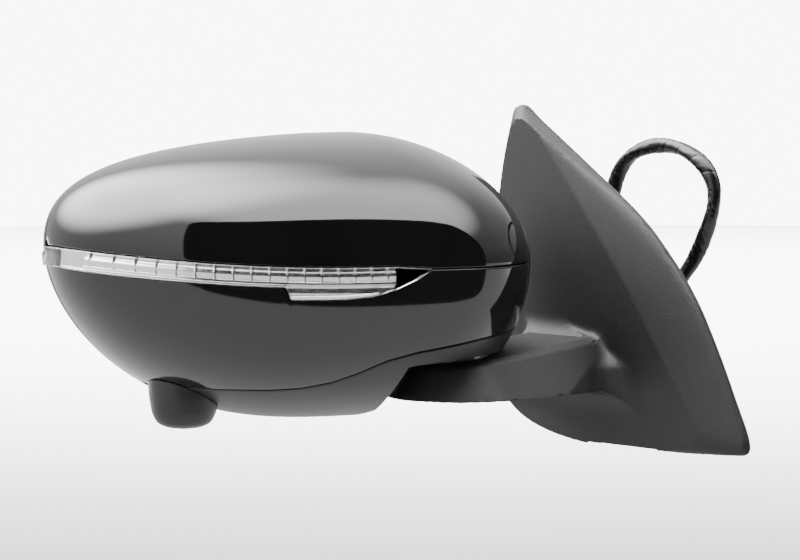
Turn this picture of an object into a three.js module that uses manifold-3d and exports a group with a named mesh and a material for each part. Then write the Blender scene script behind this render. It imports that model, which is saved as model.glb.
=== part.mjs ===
// A power-folding car door mirror for the right-hand door, with an indicator strip and a side camera.
// Millimetres. Origin on the door face, +Z up, -Y towards the car's front, -X outboard.
// The head's own axes are l (outboard along the head), n (forward) and z (up).

import * as THREE from 'three';
import { mergeVertices } from 'three/addons/utils/BufferGeometryUtils.js';
import { ConvexGeometry } from 'three/addons/geometries/ConvexGeometry.js';
import Module from 'manifold-3d';

const wasm = await Module();
wasm.setup();

const DEG = Math.PI / 180;
const GAP = 0.3;

// Head: where it sits, how far it is swept back, and the form of its outer skin.
const HEAD_SWEEP = 20 * DEG;
const HEAD_ORIGIN = new THREE.Vector3(-144.85, 86.27, 0);
const HEAD_OUTER = 137.5;
const HEAD_INNER = -120;
const WAIST_HEIGHT = 25;
const WAIST_RISE = 8.5;
const DEPTH = { peak: 112, at: -42, outer: [2.0, 2.0], inner: [2.35, 2.3] };
const CROWN = { peak: 67.8, at: -32, outer: [2.15, 2.5], inner: [1.85, 2.0] };
const BELLY = { peak: 85, at: -20, outer: [2.6, 1.75], inner: [2.6, 2.4] };
const DEPTH_POWER = 0.92;
const CROWN_POWER = 0.95;
const SHELL = 2.4;
const EDGE = 89.8 * DEG;
const CAP_INNER_END = -107;
const TRIM_SEAM = -38;
const BEZEL_DEPTH = 16;

// Indicator strip along the waist.
const STRIP_ABOVE = 1.8;
const STRIP_BELOW = 8.4;
const STRIP_INNER_END = -22;
const STRIP_PROUD = 2.6;

// Fold pivot: the axis leans outboard, and z' = 0 on it is the seam between arm and head.
const PIVOT = new THREE.Vector3(-96.95, 10.31, -26.5);
const PIVOT_LEAN = 5 * DEG;
const FOLD_BACK = 70;
const FOLD_FORWARD = 50;
const ARM_TOP_RADIUS = 28;
const ARM_SLOPE = 0.61;
const ARM_ROOT_SLOPE = 0.37;
const ARM_FLOOR = -46.8;
const ARM_COVER = 2.4;
const SHAFT_RADIUS = 9;
const SHAFT_BORE = 5.5;
const SHAFT_TOP = 58;
const SHAFT_FOOT = -13;

// Sail: the triangular cover on the door, in y (rearward) and z.
const SAIL_FACE = -11;
const SAIL_RIM = -3;
const SAIL_WALL = 2.6;
const GASKET_BACK = 0;

// Glass and its two-axis drive, centred on the gimbal.
const GIMBAL = new THREE.Vector3(6, -1, 16);
const PLUNGER_ARM = 27;
const GLASS_FACE = -12;
const GLASS_THICKNESS = 2;
const DRIVE_DEPTH = 14.6;
const GEAR_RADIUS = 9;
const WORM_RADIUS = 3.2;
const WORM_OFFSET = GEAR_RADIUS + WORM_RADIUS + 0.4;
const MOTOR_RADIUS = 7;
const CASE_BACK = 4;
const CASE_SPLIT = 13;
const CASE_FRONT = 24.2;
const PLATE_BACK = 27;
const PLATE_FRONT = 31;

// Harness and camera.
const SLEEVE_RADIUS = 4;
const POD_CENTRE = { l: 69, n: 20 };

// ---------- materials ----------

function finish(color, roughness, metalness = 0) {
  return new THREE.MeshStandardMaterial({ color, roughness, metalness });
}

const GLOSS_BLACK = finish(0x101114, 0.08);
const GLOSS_GREY = finish(0x2a2b2f, 0.22);
const SATIN_BLACK = finish(0x1c1d20, 0.5);
const GRAINED_BLACK = finish(0x26272b, 0.72);
const BLACK_NYLON = finish(0x17181a, 0.6);
const WHITE_ACETAL = finish(0xe6e4dc, 0.45);
const BLACK_RUBBER = finish(0x0c0c0d, 0.8);
const SLEEVE_VINYL = finish(0x0b0b0c, 0.28);
const CAST_METAL = finish(0x8f9295, 0.55, 0.9);
const STEEL = finish(0xb4b7bb, 0.32, 1);
const CHROME = finish(0xe8eaec, 0.06, 1);
const CLEAR_LENS = finish(0xdfe4e6, 0.05);
const MIRROR = finish(0xd4dade, 0.02, 1);
const HEATER_FOIL = finish(0x2c2420, 0.55);
const BOARD_GREEN = finish(0x1d4a33, 0.5);
const LENS_GLASS = finish(0x0a0c12, 0.03);

// ---------- frames ----------

const mirror = new THREE.Group();
const door = new THREE.Group();
const head = new THREE.Group();
const pivot = new THREE.Group();
mirror.add(door, head, pivot);
head.position.copy(HEAD_ORIGIN);
head.rotation.z = Math.PI - HEAD_SWEEP;
pivot.position.copy(PIVOT);
pivot.quaternion
  .setFromAxisAngle(new THREE.Vector3(0, 1, 0), -PIVOT_LEAN)
  .multiply(new THREE.Quaternion().setFromAxisAngle(new THREE.Vector3(0, 0, 1), head.rotation.z));
mirror.updateMatrixWorld(true);
const pivotInHead = head.matrixWorld.clone().invert().multiply(pivot.matrixWorld);

// ---------- solids ----------

function dropSlivers(index) {
  const kept = [];
  for (let i = 0; i < index.length; i += 3) {
    const [a, b, c] = [index[i], index[i + 1], index[i + 2]];
    if (a !== b && b !== c && c !== a) kept.push(a, b, c);
  }
  return kept;
}

function signedVolume(position, index) {
  const [a, b, c] = [new THREE.Vector3(), new THREE.Vector3(), new THREE.Vector3()];
  let sum = 0;
  for (let i = 0; i < index.length; i += 3) {
    a.fromBufferAttribute(position, index[i]);
    b.fromBufferAttribute(position, index[i + 1]);
    c.fromBufferAttribute(position, index[i + 2]);
    sum += a.dot(b.cross(c));
  }
  return sum / 6;
}

function solid(geometry, matrix) {
  const bare = geometry.clone();
  bare.deleteAttribute('normal');
  bare.deleteAttribute('uv');
  if (matrix) bare.applyMatrix4(matrix);
  const merged = mergeVertices(bare, 1e-4);
  const index = dropSlivers(merged.index.array);
  if (signedVolume(merged.attributes.position, index) < 0) index.reverse();
  return new wasm.Manifold(new wasm.Mesh({
    numProp: 3,
    vertProperties: new Float32Array(merged.attributes.position.array),
    triVerts: new Uint32Array(index),
  }));
}

function geometryOf(body) {
  const mesh = body.getMesh();
  const geometry = new THREE.BufferGeometry();
  geometry.setAttribute('position', new THREE.BufferAttribute(new Float32Array(mesh.vertProperties), 3));
  geometry.setIndex(new THREE.BufferAttribute(new Uint32Array(mesh.triVerts), 1));
  geometry.computeVertexNormals();
  return geometry;
}

function join(first, ...rest) {
  return rest.reduce((sum, body) => sum.add(body), first);
}

function cut(first, ...rest) {
  return rest.reduce((left, body) => left.subtract(body), first);
}

function piece(parent, name, body, material) {
  const mesh = new THREE.Mesh(geometryOf(body), material);
  mesh.name = name;
  parent.add(mesh);
}

// ---------- building blocks ----------

const at = (x, y, z) => new THREE.Vector3(x, y, z);

function box(low, high) {
  const size = high.clone().sub(low);
  const middle = low.clone().add(high).multiplyScalar(0.5);
  return solid(new THREE.BoxGeometry(size.x, size.y, size.z).translate(middle.x, middle.y, middle.z));
}

// A profile of [radius, height] turned about the line that leaves `base` along `direction`.
function turned(profile, base, direction, segments = 24, matrix) {
  const points = profile.map(([radius, height]) => new THREE.Vector2(radius, height));
  const spin = new THREE.Quaternion().setFromUnitVectors(at(0, 1, 0), direction.clone().normalize());
  const geometry = new THREE.LatheGeometry(points, segments).applyQuaternion(spin);
  return solid(geometry.translate(base.x, base.y, base.z), matrix);
}

function rod(radius, from, to, segments = 24, matrix) {
  const length = from.distanceTo(to);
  const profile = [[0, 0], [radius, 0], [radius, length], [0, length]];
  return turned(profile, from, to.clone().sub(from), segments, matrix);
}

function tube(outer, inner, from, to, segments = 24, matrix) {
  const length = from.distanceTo(to);
  const profile = [[inner, 0], [outer, 0], [outer, length], [inner, length], [inner, 0]];
  return turned(profile, from, to.clone().sub(from), segments, matrix);
}

function hull(points, matrix) {
  return solid(new ConvexGeometry(points), matrix);
}

// A closed outline of Vector2(l, z) pushed from nFront back by thickness.
function plateOf(outline, nFront, thickness) {
  const geometry = new THREE.ExtrudeGeometry(new THREE.Shape(outline), {
    depth: thickness,
    bevelEnabled: false,
  });
  return solid(geometry.rotateX(Math.PI / 2).translate(0, nFront, 0));
}

// A closed outline of Vector2(y, z) pushed along +X from xFrom to xTo.
function doorPlate(outline, xFrom, xTo) {
  const geometry = new THREE.ExtrudeGeometry(new THREE.Shape(outline), {
    depth: xTo - xFrom,
    bevelEnabled: false,
  });
  const turn = new THREE.Matrix4().makeBasis(at(0, 1, 0), at(0, 0, 1), at(1, 0, 0));
  return solid(geometry.applyMatrix4(turn).translate(xFrom, 0, 0));
}

function smoothOutline(corners, count) {
  const points = corners.map(([x, y]) => at(x, y, 0));
  const curve = new THREE.CatmullRomCurve3(points, true, 'centripetal');
  const loop = curve.getSpacedPoints(count).slice(0, count);
  return loop.map((point) => new THREE.Vector2(point.x, point.y));
}

// Moves a counter-clockwise outline outwards by `distance`.
function offsetOutline(outline, distance) {
  const count = outline.length;
  return outline.map((point, i) => {
    const before = outline[(i + count - 1) % count];
    const after = outline[(i + 1) % count];
    const normal = new THREE.Vector2(after.y - before.y, before.x - after.x).normalize();
    return point.clone().addScaledVector(normal, distance);
  });
}

function ccw(outline) {
  return THREE.ShapeUtils.isClockWise(outline) ? outline.slice().reverse() : outline;
}

// A closed shell between an outer and an inner surface, both functions of u and v from 0 to 1.
function gridShell(outer, inner, uCount, vCount) {
  const points = [];
  const index = [];
  const stride = vCount + 1;
  const layer = (uCount + 1) * stride;
  for (const surface of [outer, inner]) {
    for (let i = 0; i <= uCount; i += 1) {
      for (let j = 0; j <= vCount; j += 1) {
        points.push(surface(i / uCount, j / vCount));
      }
    }
  }
  const id = (i, j, side) => side * layer + i * stride + j;
  const quad = (a, b, c, d) => index.push(a, b, c, a, c, d);
  for (let i = 0; i < uCount; i += 1) {
    for (let j = 0; j < vCount; j += 1) {
      quad(id(i, j, 0), id(i + 1, j, 0), id(i + 1, j + 1, 0), id(i, j + 1, 0));
      quad(id(i, j, 1), id(i, j + 1, 1), id(i + 1, j + 1, 1), id(i + 1, j, 1));
    }
  }
  for (let i = 0; i < uCount; i += 1) {
    quad(id(i, 0, 1), id(i + 1, 0, 1), id(i + 1, 0, 0), id(i, 0, 0));
    quad(id(i, vCount, 0), id(i + 1, vCount, 0), id(i + 1, vCount, 1), id(i, vCount, 1));
  }
  for (let j = 0; j < vCount; j += 1) {
    quad(id(0, j, 0), id(0, j + 1, 0), id(0, j + 1, 1), id(0, j, 1));
    quad(id(uCount, j, 1), id(uCount, j + 1, 1), id(uCount, j + 1, 0), id(uCount, j, 0));
  }
  const geometry = new THREE.BufferGeometry().setFromPoints(points);
  geometry.setIndex(index);
  return solid(geometry);
}

function gearOutline(radius, teeth, depth) {
  const outline = [];
  for (let i = 0; i < teeth * 4; i += 1) {
    const reach = i % 4 < 2 ? radius : radius - depth;
    const angle = ((i - 0.5) / (teeth * 4)) * 2 * Math.PI;
    outline.push(new THREE.Vector2(reach * Math.cos(angle), reach * Math.sin(angle)));
  }
  return outline;
}

// A grooved worm on the line from `from` to `to`.
function worm(from, to, radius, pitch, matrix) {
  const length = from.distanceTo(to);
  const grooves = Math.floor((length - pitch) / pitch);
  const profile = [[0, 0], [radius - 1.2, 0]];
  for (let i = 0; i < grooves; i += 1) {
    const start = pitch * (i + 0.5);
    profile.push([radius - 1.2, start], [radius, start + pitch * 0.3]);
    profile.push([radius, start + pitch * 0.6], [radius - 1.2, start + pitch * 0.9]);
  }
  profile.push([radius - 1.2, length], [0, length]);
  return turned(profile, from, to.clone().sub(from), 10, matrix);
}

// A pan-head screw whose head seats at `seat`, pointing along `direction`.
function screw(seat, direction, length, radius = 1.6, matrix) {
  const profile = [[0, -2], [radius * 1.6, -2], [radius * 2, -1.2], [radius * 2, 0]];
  profile.push([radius, 0], [radius, length - 1.5], [0, length]);
  return turned(profile, seat, direction, 10, matrix);
}

// ---------- head skin ----------

const clamp01 = (value) => Math.min(1, Math.max(0, value));

function swell(form, l, inset) {
  const outboard = l > form.at;
  const span = outboard ? HEAD_OUTER - inset - form.at : form.at - HEAD_INNER - inset;
  const [power, root] = outboard ? form.outer : form.inner;
  const share = clamp01(Math.abs(l - form.at) / span);
  return (form.peak - inset) * (1 - share ** power) ** (1 / root);
}

function waist(l) {
  return WAIST_HEIGHT + WAIST_RISE * clamp01((l - 10) / 127) ** 2;
}

// The skin point at station l and angle theta above the waist, moved inwards by inset.
function skin(l, theta, inset = 0) {
  const scale = l > 0 ? (HEAD_OUTER - inset) / HEAD_OUTER : (HEAD_INNER + inset) / HEAD_INNER;
  const station = l * scale;
  const lift = Math.abs(Math.sin(theta));
  const n = swell(DEPTH, station, inset) * Math.max(0, Math.cos(theta)) ** DEPTH_POWER;
  const rise = swell(CROWN, station, inset) * lift ** CROWN_POWER;
  const drop = swell(BELLY, station, inset) * lift;
  return at(station, n, waist(station) + (theta >= 0 ? rise : -drop));
}

const crownAngle = (l, height) => Math.asin(clamp01(height / swell(CROWN, l, 0)) ** (1 / CROWN_POWER));
const bellyAngle = (l, depth) => Math.asin(clamp01(depth / swell(BELLY, l, 0)));

// Stations crowd towards both ends, where the skin turns fastest.
function station(u, from, to) {
  return from + (to - from) * (1 - Math.cos(Math.PI * u)) / 2;
}

// A shell of the skin from station l0 to l1, between two angles that may change along it.
function skinShell(l0, l1, low, high, outset, inset, uCount, vCount) {
  const surface = (depth) => (u, v) => {
    const l = station(u, l0, l1);
    return skin(l, low(l) + (high(l) - low(l)) * v, depth);
  };
  return gridShell(surface(-outset), surface(inset), uCount, vCount);
}

// The head's widest section, as Vector2(l, z) points counter-clockwise.
function headOutline(inset, count = 17) {
  const top = [];
  const bottom = [];
  for (let i = 0; i < count; i += 1) {
    const l = station(i / count, HEAD_OUTER, HEAD_INNER);
    const point = skin(l, Math.PI / 2, inset);
    top.push(new THREE.Vector2(point.x, point.z));
  }
  for (let i = 0; i < count; i += 1) {
    const l = station(i / count, HEAD_INNER, HEAD_OUTER);
    const point = skin(l, -Math.PI / 2, inset);
    bottom.push(new THREE.Vector2(point.x, point.z));
  }
  return ccw([...top, ...bottom]);
}

const ringAt = (outline, n) => outline.map((point) => at(point.x, n, point.y));

// The head's whole volume, as the convex body inside the skin and back to nBack.
function headBody(inset, nBack, stations = 12, angles = 10) {
  const points = ringAt(headOutline(inset), nBack);
  for (let i = 0; i <= stations; i += 1) {
    const l = station(i / stations, HEAD_INNER, HEAD_OUTER);
    for (let j = 0; j <= angles; j += 1) {
      points.push(skin(l, (j / angles - 0.5) * Math.PI, inset));
    }
  }
  return hull(points);
}

function slab(nBack, nFront) {
  return box(at(-200, nBack, -200), at(200, nFront, 200));
}

// ---------- arm and its sweep ----------

const ringPoints = (radius, height, count = 24) => Array.from({ length: count }, (_, i) => {
  const angle = (i / count) * 2 * Math.PI;
  return at(radius * Math.cos(angle), radius * Math.sin(angle), height);
});

// Everything that the arm passes through as the head folds, in the head's axes.
// In the head's axes the arm points at 200 degrees at rest.
function armSweep(clear) {
  const rest = 180 + HEAD_SWEEP / DEG;
  const reach = 190;
  const rings = [[clear, ARM_TOP_RADIUS + clear], [-90, ARM_TOP_RADIUS + clear + 90 * ARM_SLOPE]];
  const points = [];
  for (const [height, radius] of rings) {
    points.push(...ringPoints(radius, height, 32));
    for (let angle = rest - FOLD_FORWARD; angle <= rest + FOLD_BACK; angle += 10) {
      const direction = at(Math.cos(angle * DEG), Math.sin(angle * DEG), 0);
      const side = at(-direction.y, direction.x, 0);
      const far = direction.multiplyScalar(reach);
      points.push(far.clone().addScaledVector(side, radius).setZ(height));
      points.push(far.clone().addScaledVector(side, -radius).setZ(height));
    }
  }
  return hull(points, pivotInHead);
}

function onAxis(radius, from, to, segments = 32) {
  return rod(radius, at(0, 0, from), at(0, 0, to), segments);
}

function onAxisInHead(radius, from, to, segments = 32) {
  return rod(radius, at(0, 0, from), at(0, 0, to), segments, pivotInHead);
}

// The space between two heights above the arm's underside.
function aboveFloor(low, high) {
  return box(at(-200, -150, ARM_FLOOR + low), at(10, 150, ARM_FLOOR + high));
}

// The arm between the boss under the pivot and the sail, shrunk on all sides by inset.
function armBody(inset, floor, sailEnd) {
  const deep = 40;
  const boss = [
    [ARM_TOP_RADIUS - 4, -inset],
    [ARM_TOP_RADIUS - 0.8, -1.8 - inset * 0.5],
    [ARM_TOP_RADIUS + ARM_SLOPE * deep, -deep],
  ];
  const points = boss.flatMap(([radius, height]) => {
    return ringPoints(radius - inset, height).map((point) => point.applyMatrix4(pivot.matrixWorld));
  });
  const rootTop = PIVOT.z - Math.tan(PIVOT_LEAN) * (PIVOT.x - sailEnd) - inset;
  const topHalf = ARM_TOP_RADIUS - 1 - inset;
  const rows = [[topHalf - 5, rootTop], [topHalf, rootTop - 3]];
  rows.push([topHalf + ARM_ROOT_SLOPE * deep, rootTop - 3 - deep]);
  for (const [half, z] of rows) {
    points.push(at(sailEnd, PIVOT.y - half, z), at(sailEnd, PIVOT.y + half, z));
  }
  return hull(points).intersect(aboveFloor(floor, 100));
}

// ---------- door side ----------

const SAIL_EDGE = [
  [57, 102], [54.5, 106], [49.6, 106.6], [38, 98.5], [-1, 72], [-38, 45.6], [-59, 24.8], [-76, 3.4],
  [-90, -21.2], [-102, -46], [-112.5, -71], [-111, -75.6], [-60, -73.6], [-12, -70.4], [46, -64.4],
  [57, -62], [58.5, -56],
];
const SAIL_CREST = [[49, 99], [36, 95], [19, 77], [-9, 42], [-38, 4], [-60, -31], [-84, -70], [52, -60]];

const points2 = (pairs) => ccw(pairs.map(([x, y]) => new THREE.Vector2(x, y)));

function sailBody(inset, rim, face) {
  const edge = offsetOutline(points2(SAIL_EDGE), -inset);
  const crest = offsetOutline(points2(SAIL_CREST), -inset);
  const points = [];
  points.push(...edge.map((point) => at(rim, point.x, point.y)));
  points.push(...edge.map((point) => at(Math.min(-3.6 + inset, rim), point.x, point.y)));
  points.push(...offsetOutline(edge, -1.5).map((point) => at(-5 + inset, point.x, point.y)));
  points.push(...crest.map((point) => at(face, point.x, point.y)));
  return hull(points);
}

const STUDS = [[38, -42], [30, 52], [-52, -34]];
const GROMMET = { y: 8, z: 28 };
const GROMMET_HOLE = 9;

function buildSail() {
  const skinBody = join(sailBody(0, SAIL_RIM, SAIL_FACE), armBody(0, 0, -8), armFairing());
  const sailHollow = sailBody(SAIL_WALL, SAIL_RIM + 2, SAIL_FACE + SAIL_WALL);
  const armHollow = join(armBody(SAIL_WALL, -12, -16), armBody(SAIL_WALL, SAIL_WALL, SAIL_RIM + 2));
  const shaftHole = solidInWorld(onAxis(SHAFT_RADIUS + 0.5, -12, 6));
  const rimTrim = box(at(SAIL_RIM, -200, -200), at(50, 200, 200));
  return cut(skinBody, sailHollow, armHollow, shaftHole, rimTrim);
}

// The ramp between the arm's top and the sail, outside the reach of the turning head.
function armFairing() {
  const half = ARM_TOP_RADIUS - 2;
  const top = PIVOT.z + Math.tan(PIVOT_LEAN) * (-18 - PIVOT.x) - 1;
  return hull([
    at(-18, PIVOT.y - half, top), at(-18, PIVOT.y + half, top),
    at(-8, PIVOT.y - half, -13), at(-8, PIVOT.y + half, -4),
    at(-8, PIVOT.y - half, -30), at(-8, PIVOT.y + half, -30),
  ]);
}

function solidInWorld(body) {
  return solid(geometryOf(body), pivot.matrixWorld);
}

function buildArmCover() {
  return armBody(SAIL_WALL + 0.4, 0, -16.4).intersect(aboveFloor(0, ARM_COVER));
}

function bracketOutline() {
  const corners = [[46, -50], [47, 18], [44, 74], [36, 80], [20, 66], [-10, 36], [-38, 2], [-60, -40], [-57, -56]];
  return ccw(smoothOutline([...corners, [0, -56]], 28));
}

function buildBracket() {
  const plate = doorPlate(bracketOutline(), -7.4, 0);
  const inSail = sailBody(SAIL_WALL + 0.5, SAIL_RIM + 3, SAIL_FACE + SAIL_WALL + 0.5);
  const backing = doorPlate(offsetOutline(bracketOutline(), 0.5), -2.8, 1);
  const root = plate.intersect(join(inSail, backing));
  const beamTop = -24;
  const beamFloor = -41.5;
  const beam = hull([
    at(-4, PIVOT.y - 20, beamTop), at(-4, PIVOT.y + 20, beamTop), at(-4, PIVOT.y - 24, beamFloor),
    at(-4, PIVOT.y + 24, beamFloor), at(PIVOT.x, PIVOT.y - 16, -33), at(PIVOT.x, PIVOT.y + 16, -33),
    at(PIVOT.x, PIVOT.y - 16, beamFloor), at(PIVOT.x, PIVOT.y + 16, beamFloor),
  ]);
  const relief = box(at(PIVOT.x + 24, PIVOT.y - 14, -60), at(-12, PIVOT.y + 14, -34));
  const seat = solidInWorld(onAxis(20, SHAFT_FOOT, -3.4));
  const bore = solidInWorld(onAxis(SHAFT_RADIUS + 0.3, -40, 0));
  const studHoles = STUDS.map(([y, z]) => rod(3.5, at(-20, y, z), at(5, y, z), 14));
  const pockets = STUDS.map(([y, z]) => rod(6.4, at(-20, y, z), at(-3.2, y, z), 16));
  const hole = rod(GROMMET_HOLE, at(-20, GROMMET.y, GROMMET.z), at(5, GROMMET.y, GROMMET.z));
  const grommetSeat = rod(11.2, at(-20, GROMMET.y, GROMMET.z), at(-5.6, GROMMET.y, GROMMET.z), 20);
  return cut(join(root, beam, seat), relief, bore, hole, grommetSeat, ...studHoles, ...pockets);
}

function stud(y, z) {
  const profile = [[0, 0], [5.9, 0], [5.9, 2.6], [3, 2.6], [3, 26], [2.2, 28], [0, 28]];
  return turned(profile, at(-6.2, y, z), at(1, 0, 0), 12);
}

function rimPlate(offset, xFrom, xTo) {
  const outline = offsetOutline(points2(SAIL_EDGE), offset);
  return hull([xFrom, xTo].flatMap((x) => outline.map((point) => at(x, point.x, point.y))));
}

function buildGasket() {
  return cut(rimPlate(0.2, SAIL_RIM + GAP, GASKET_BACK), rimPlate(-6, SAIL_RIM - 1, GASKET_BACK + 1));
}

function buildShaft() {
  const profile = [
    [SHAFT_BORE, SHAFT_FOOT], [SHAFT_RADIUS, SHAFT_FOOT], [SHAFT_RADIUS, 0.4], [18, 0.4], [18, 3.4],
    [SHAFT_RADIUS, 3.4], [SHAFT_RADIUS, SHAFT_TOP], [SHAFT_BORE, SHAFT_TOP], [SHAFT_BORE, SHAFT_FOOT],
  ];
  return turned(profile, at(0, 0, 0), at(0, 0, 1), 32);
}

// A ring with ramped teeth on one face; `up` says which way the teeth point.
function detentRing(outer, inner, base, height, up) {
  const ring = tube(outer, inner, at(0, 0, base), at(0, 0, base + height), 32);
  const toothBase = up ? base + height - 0.2 : base + 0.2;
  const toothTop = up ? base + height + 1.2 : base - 1.2;
  const teeth = [0, 90, 180, 270].map((degrees) => {
    const turn = new THREE.Matrix4().makeRotationZ((degrees + (up ? 0 : 45)) * DEG);
    const low = [at(inner + 0.6, -4, toothBase), at(outer - 0.6, -4, toothBase)];
    const far = [at(inner + 0.6, 4, toothBase), at(outer - 0.6, 4, toothBase)];
    const crest = [at(inner + 0.6, -1.5, toothTop), at(outer - 0.6, -1.5, toothTop)];
    const crestFar = [at(inner + 0.6, 1.5, toothTop), at(outer - 0.6, 1.5, toothTop)];
    return hull([...low, ...far, ...crest, ...crestFar], turn);
  });
  return join(ring, ...teeth);
}

function buildFoldWheel() {
  const shape = new THREE.Shape(gearOutline(17, 24, 1.8));
  const geometry = new THREE.ExtrudeGeometry(shape, { depth: 8, bevelEnabled: false });
  return cut(solid(geometry.translate(0, 0, 16)), onAxis(SHAFT_RADIUS + 0.3, 10, 30));
}

function buildSleeve() {
  const route = HARNESS.map(([x, y, z]) => at(x, y, z));
  const curve = new THREE.CatmullRomCurve3(route, false, 'centripetal');
  const section = new THREE.Shape();
  section.absarc(0, 0, SLEEVE_RADIUS, 0, 2 * Math.PI, false);
  return solid(new THREE.ExtrudeGeometry(section, {
    steps: 48,
    curveSegments: 5,
    extrudePath: curve,
    bevelEnabled: false,
  }));
}

// The harness leaves the grommet, loops up past the sail's edge and comes back to its connector.
const HARNESS = [
  [4.8, 8, 28], [12, 8, 28], [20, 9, 30], [26, 11.5, 36], [29, 12, 46], [30, 11.5, 57], [30, 8, 67.5],
  [30, 1, 76.5], [29, -9, 82], [28, -21, 84.5], [27.5, -33, 84.5], [27, -44, 82], [26.5, -54, 77],
  [26.5, -61, 70], [26.5, -64.5, 60.5], [26.5, -63.5, 50], [26.5, -59.5, 39.5], [27, -54, 29],
  [27.5, -46.5, 18.5], [28, -38, 9.5], [28, -29, 2], [28, -19, -3], [28, -8, -5], [28, 2, -5],
];

// The plug housing continues straight on along +Y from the end of the sleeve, open at its far end.
function buildConnector() {
  const [x, y, z] = HARNESS[HARNESS.length - 1];
  const start = y + GAP;
  const shell = box(at(x - 9.5, start + 3, z - 7.5), at(x + 9.5, start + 31, z + 7.5));
  const cavity = box(at(x - 7, start + 12, z - 5), at(x + 7, start + 40, z + 5));
  const latch = box(at(x - 3, start + 8, z + 7), at(x + 3, start + 28, z + 9.6));
  const neck = rod(6.5, at(x, start, z), at(x, start + 5, z), 16);
  return cut(join(shell, latch, neck), cavity);
}

function buildDoorSide() {
  piece(door, 'sail_cover', buildSail(), GRAINED_BLACK);
  piece(door, 'arm_lower_cover', buildArmCover(), GRAINED_BLACK);
  piece(door, 'base_bracket', buildBracket(), CAST_METAL);
  piece(door, 'sail_gasket', buildGasket(), BLACK_RUBBER);
  STUDS.forEach(([y, z], i) => piece(door, `mount_stud_${i + 1}`, stud(y, z), STEEL));
  const { y, z } = GROMMET;
  const grommet = [
    [SLEEVE_RADIUS + 0.4, 0], [10.6, 0], [10.6, 1.6], [8.6, 2.2], [8.6, 12.5],
    [SLEEVE_RADIUS + 0.4, 12.5], [SLEEVE_RADIUS + 0.4, 0],
  ];
  piece(door, 'harness_grommet', turned(grommet, at(-8, y, z), at(1, 0, 0), 20), BLACK_RUBBER);
  piece(door, 'harness_sleeve', buildSleeve(), SLEEVE_VINYL);
  piece(door, 'harness_connector', buildConnector(), BLACK_NYLON);
  piece(pivot, 'pivot_shaft', buildShaft(), STEEL);
  piece(pivot, 'detent_ring', detentRing(16, SHAFT_RADIUS + 0.3, 3.8, 3, true), STEEL);
  piece(pivot, 'fold_wheel', buildFoldWheel(), STEEL);
  const clip = tube(13, SHAFT_RADIUS + 0.3, at(0, 0, SHAFT_TOP - 4), at(0, 0, SHAFT_TOP - 2), 20);
  piece(pivot, 'shaft_clip', clip, STEEL);
}

// ---------- head shells ----------

function buildCap(sweep) {
  const outerEnd = HEAD_OUTER - 0.9;
  const low = (l) => Math.min(EDGE - 4 * DEG, crownAngle(l, l < STRIP_INNER_END ? 0.3 : STRIP_ABOVE + 0.3));
  const shell = skinShell(CAP_INNER_END, outerEnd, low, () => EDGE, 0, SHELL, 24, 10);
  return cut(shell, sweep);
}

function trimAngle(l) {
  return bellyAngle(l, waist(l) - TRIM_SEAM);
}

function buildLowerCover(sweep) {
  const high = (l) => -Math.min(EDGE - 6 * DEG, bellyAngle(l, l < STRIP_INNER_END ? 0.3 : STRIP_BELOW + 0.3));
  const low = (l) => -Math.min(EDGE, trimAngle(l));
  const shell = skinShell(CAP_INNER_END, HEAD_OUTER - 1.6, low, high, 0, SHELL, 24, 8);
  return cut(shell, sweep);
}

function buildBottomTrim(sweep) {
  const top = (l) => -Math.min(EDGE - 2 * DEG, trimAngle(l) + 0.6 * DEG);
  const shell = skinShell(-92, 76, () => -EDGE, top, 0, SHELL, 18, 4);
  const podHole = rod(12, at(POD_CENTRE.l, POD_CENTRE.n, -90), at(POD_CENTRE.l, POD_CENTRE.n, 0), 24);
  return cut(shell, sweep, podHole);
}

const GLASS_CORNERS = [
  [99, 20], [94, 42], [72, 62], [38, 73], [0, 77], [-34, 75], [-66, 63], [-83, 42], [-88, 20],
  [-85, 5], [-66, -3], [-44, -9], [-26, -21], [-12, -36], [8, -43], [36, -44.5], [64, -36], [86, -17], [97, 1],
];
const glassOutline = (offset) => offsetOutline(ccw(smoothOutline(GLASS_CORNERS, 36)), offset);

function buildRearHousing(sweep) {
  const outside = hull([
    ...ringAt(headOutline(0), -GAP), ...ringAt(headOutline(1.2), -8),
    ...ringAt(headOutline(4), -13), ...ringAt(headOutline(9), -BEZEL_DEPTH),
  ]);
  const inside = hull([
    ...ringAt(headOutline(4), 5), ...ringAt(headOutline(4.6), -8),
    ...ringAt(headOutline(8), 3 - BEZEL_DEPTH),
  ]);
  const opening = plateOf(glassOutline(3.4), 0, 40);
  const tongue = cut(
    hull([...ringAt(headOutline(3.4), 6), ...ringAt(headOutline(3.4), -6)]),
    hull([...ringAt(headOutline(5.2), 8), ...ringAt(headOutline(5.2), -7)]),
  );
  const flankTop = () => EDGE;
  const flank = skinShell(HEAD_INNER, CAP_INNER_END - 0.5, () => -EDGE, flankTop, -0.8, 4.2, 6, 16);
  return cut(join(cut(outside, inside, opening), tongue, flank), sweep);
}

function buildPivotCover(sweep) {
  const around = armSweep(3.4).subtract(sweep);
  const inside = headBody(6.8, -8.5);
  const shaftHole = onAxisInHead(21, -5, 12);
  return cut(around.intersect(inside), shaftHole);
}

function buildFrame(clearOfArm) {
  const bodyOuter = headBody(7.6, -4);
  const bodyInner = headBody(10.2, -4);
  const plate = bodyOuter.intersect(slab(PLATE_BACK, PLATE_FRONT));
  const rim = cut(bodyOuter, bodyInner).intersect(slab(16, 40));
  const lightening = [[84, 22, 15], [-24, 62, 11], [40, 64, 9], [-66, 40, 10]].map(([l, z, radius]) => {
    return rod(radius, at(l, 20, z), at(l, 45, z), 20);
  });
  const holes = [...CASE_SCREWS, ...FOLD_SCREWS].map(([l, z]) => rod(1.9, at(l, 20, z), at(l, 45, z), 12));
  return cut(join(plate, rim), clearOfArm, ...lightening, ...holes);
}

// ---------- indicator strip ----------

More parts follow.
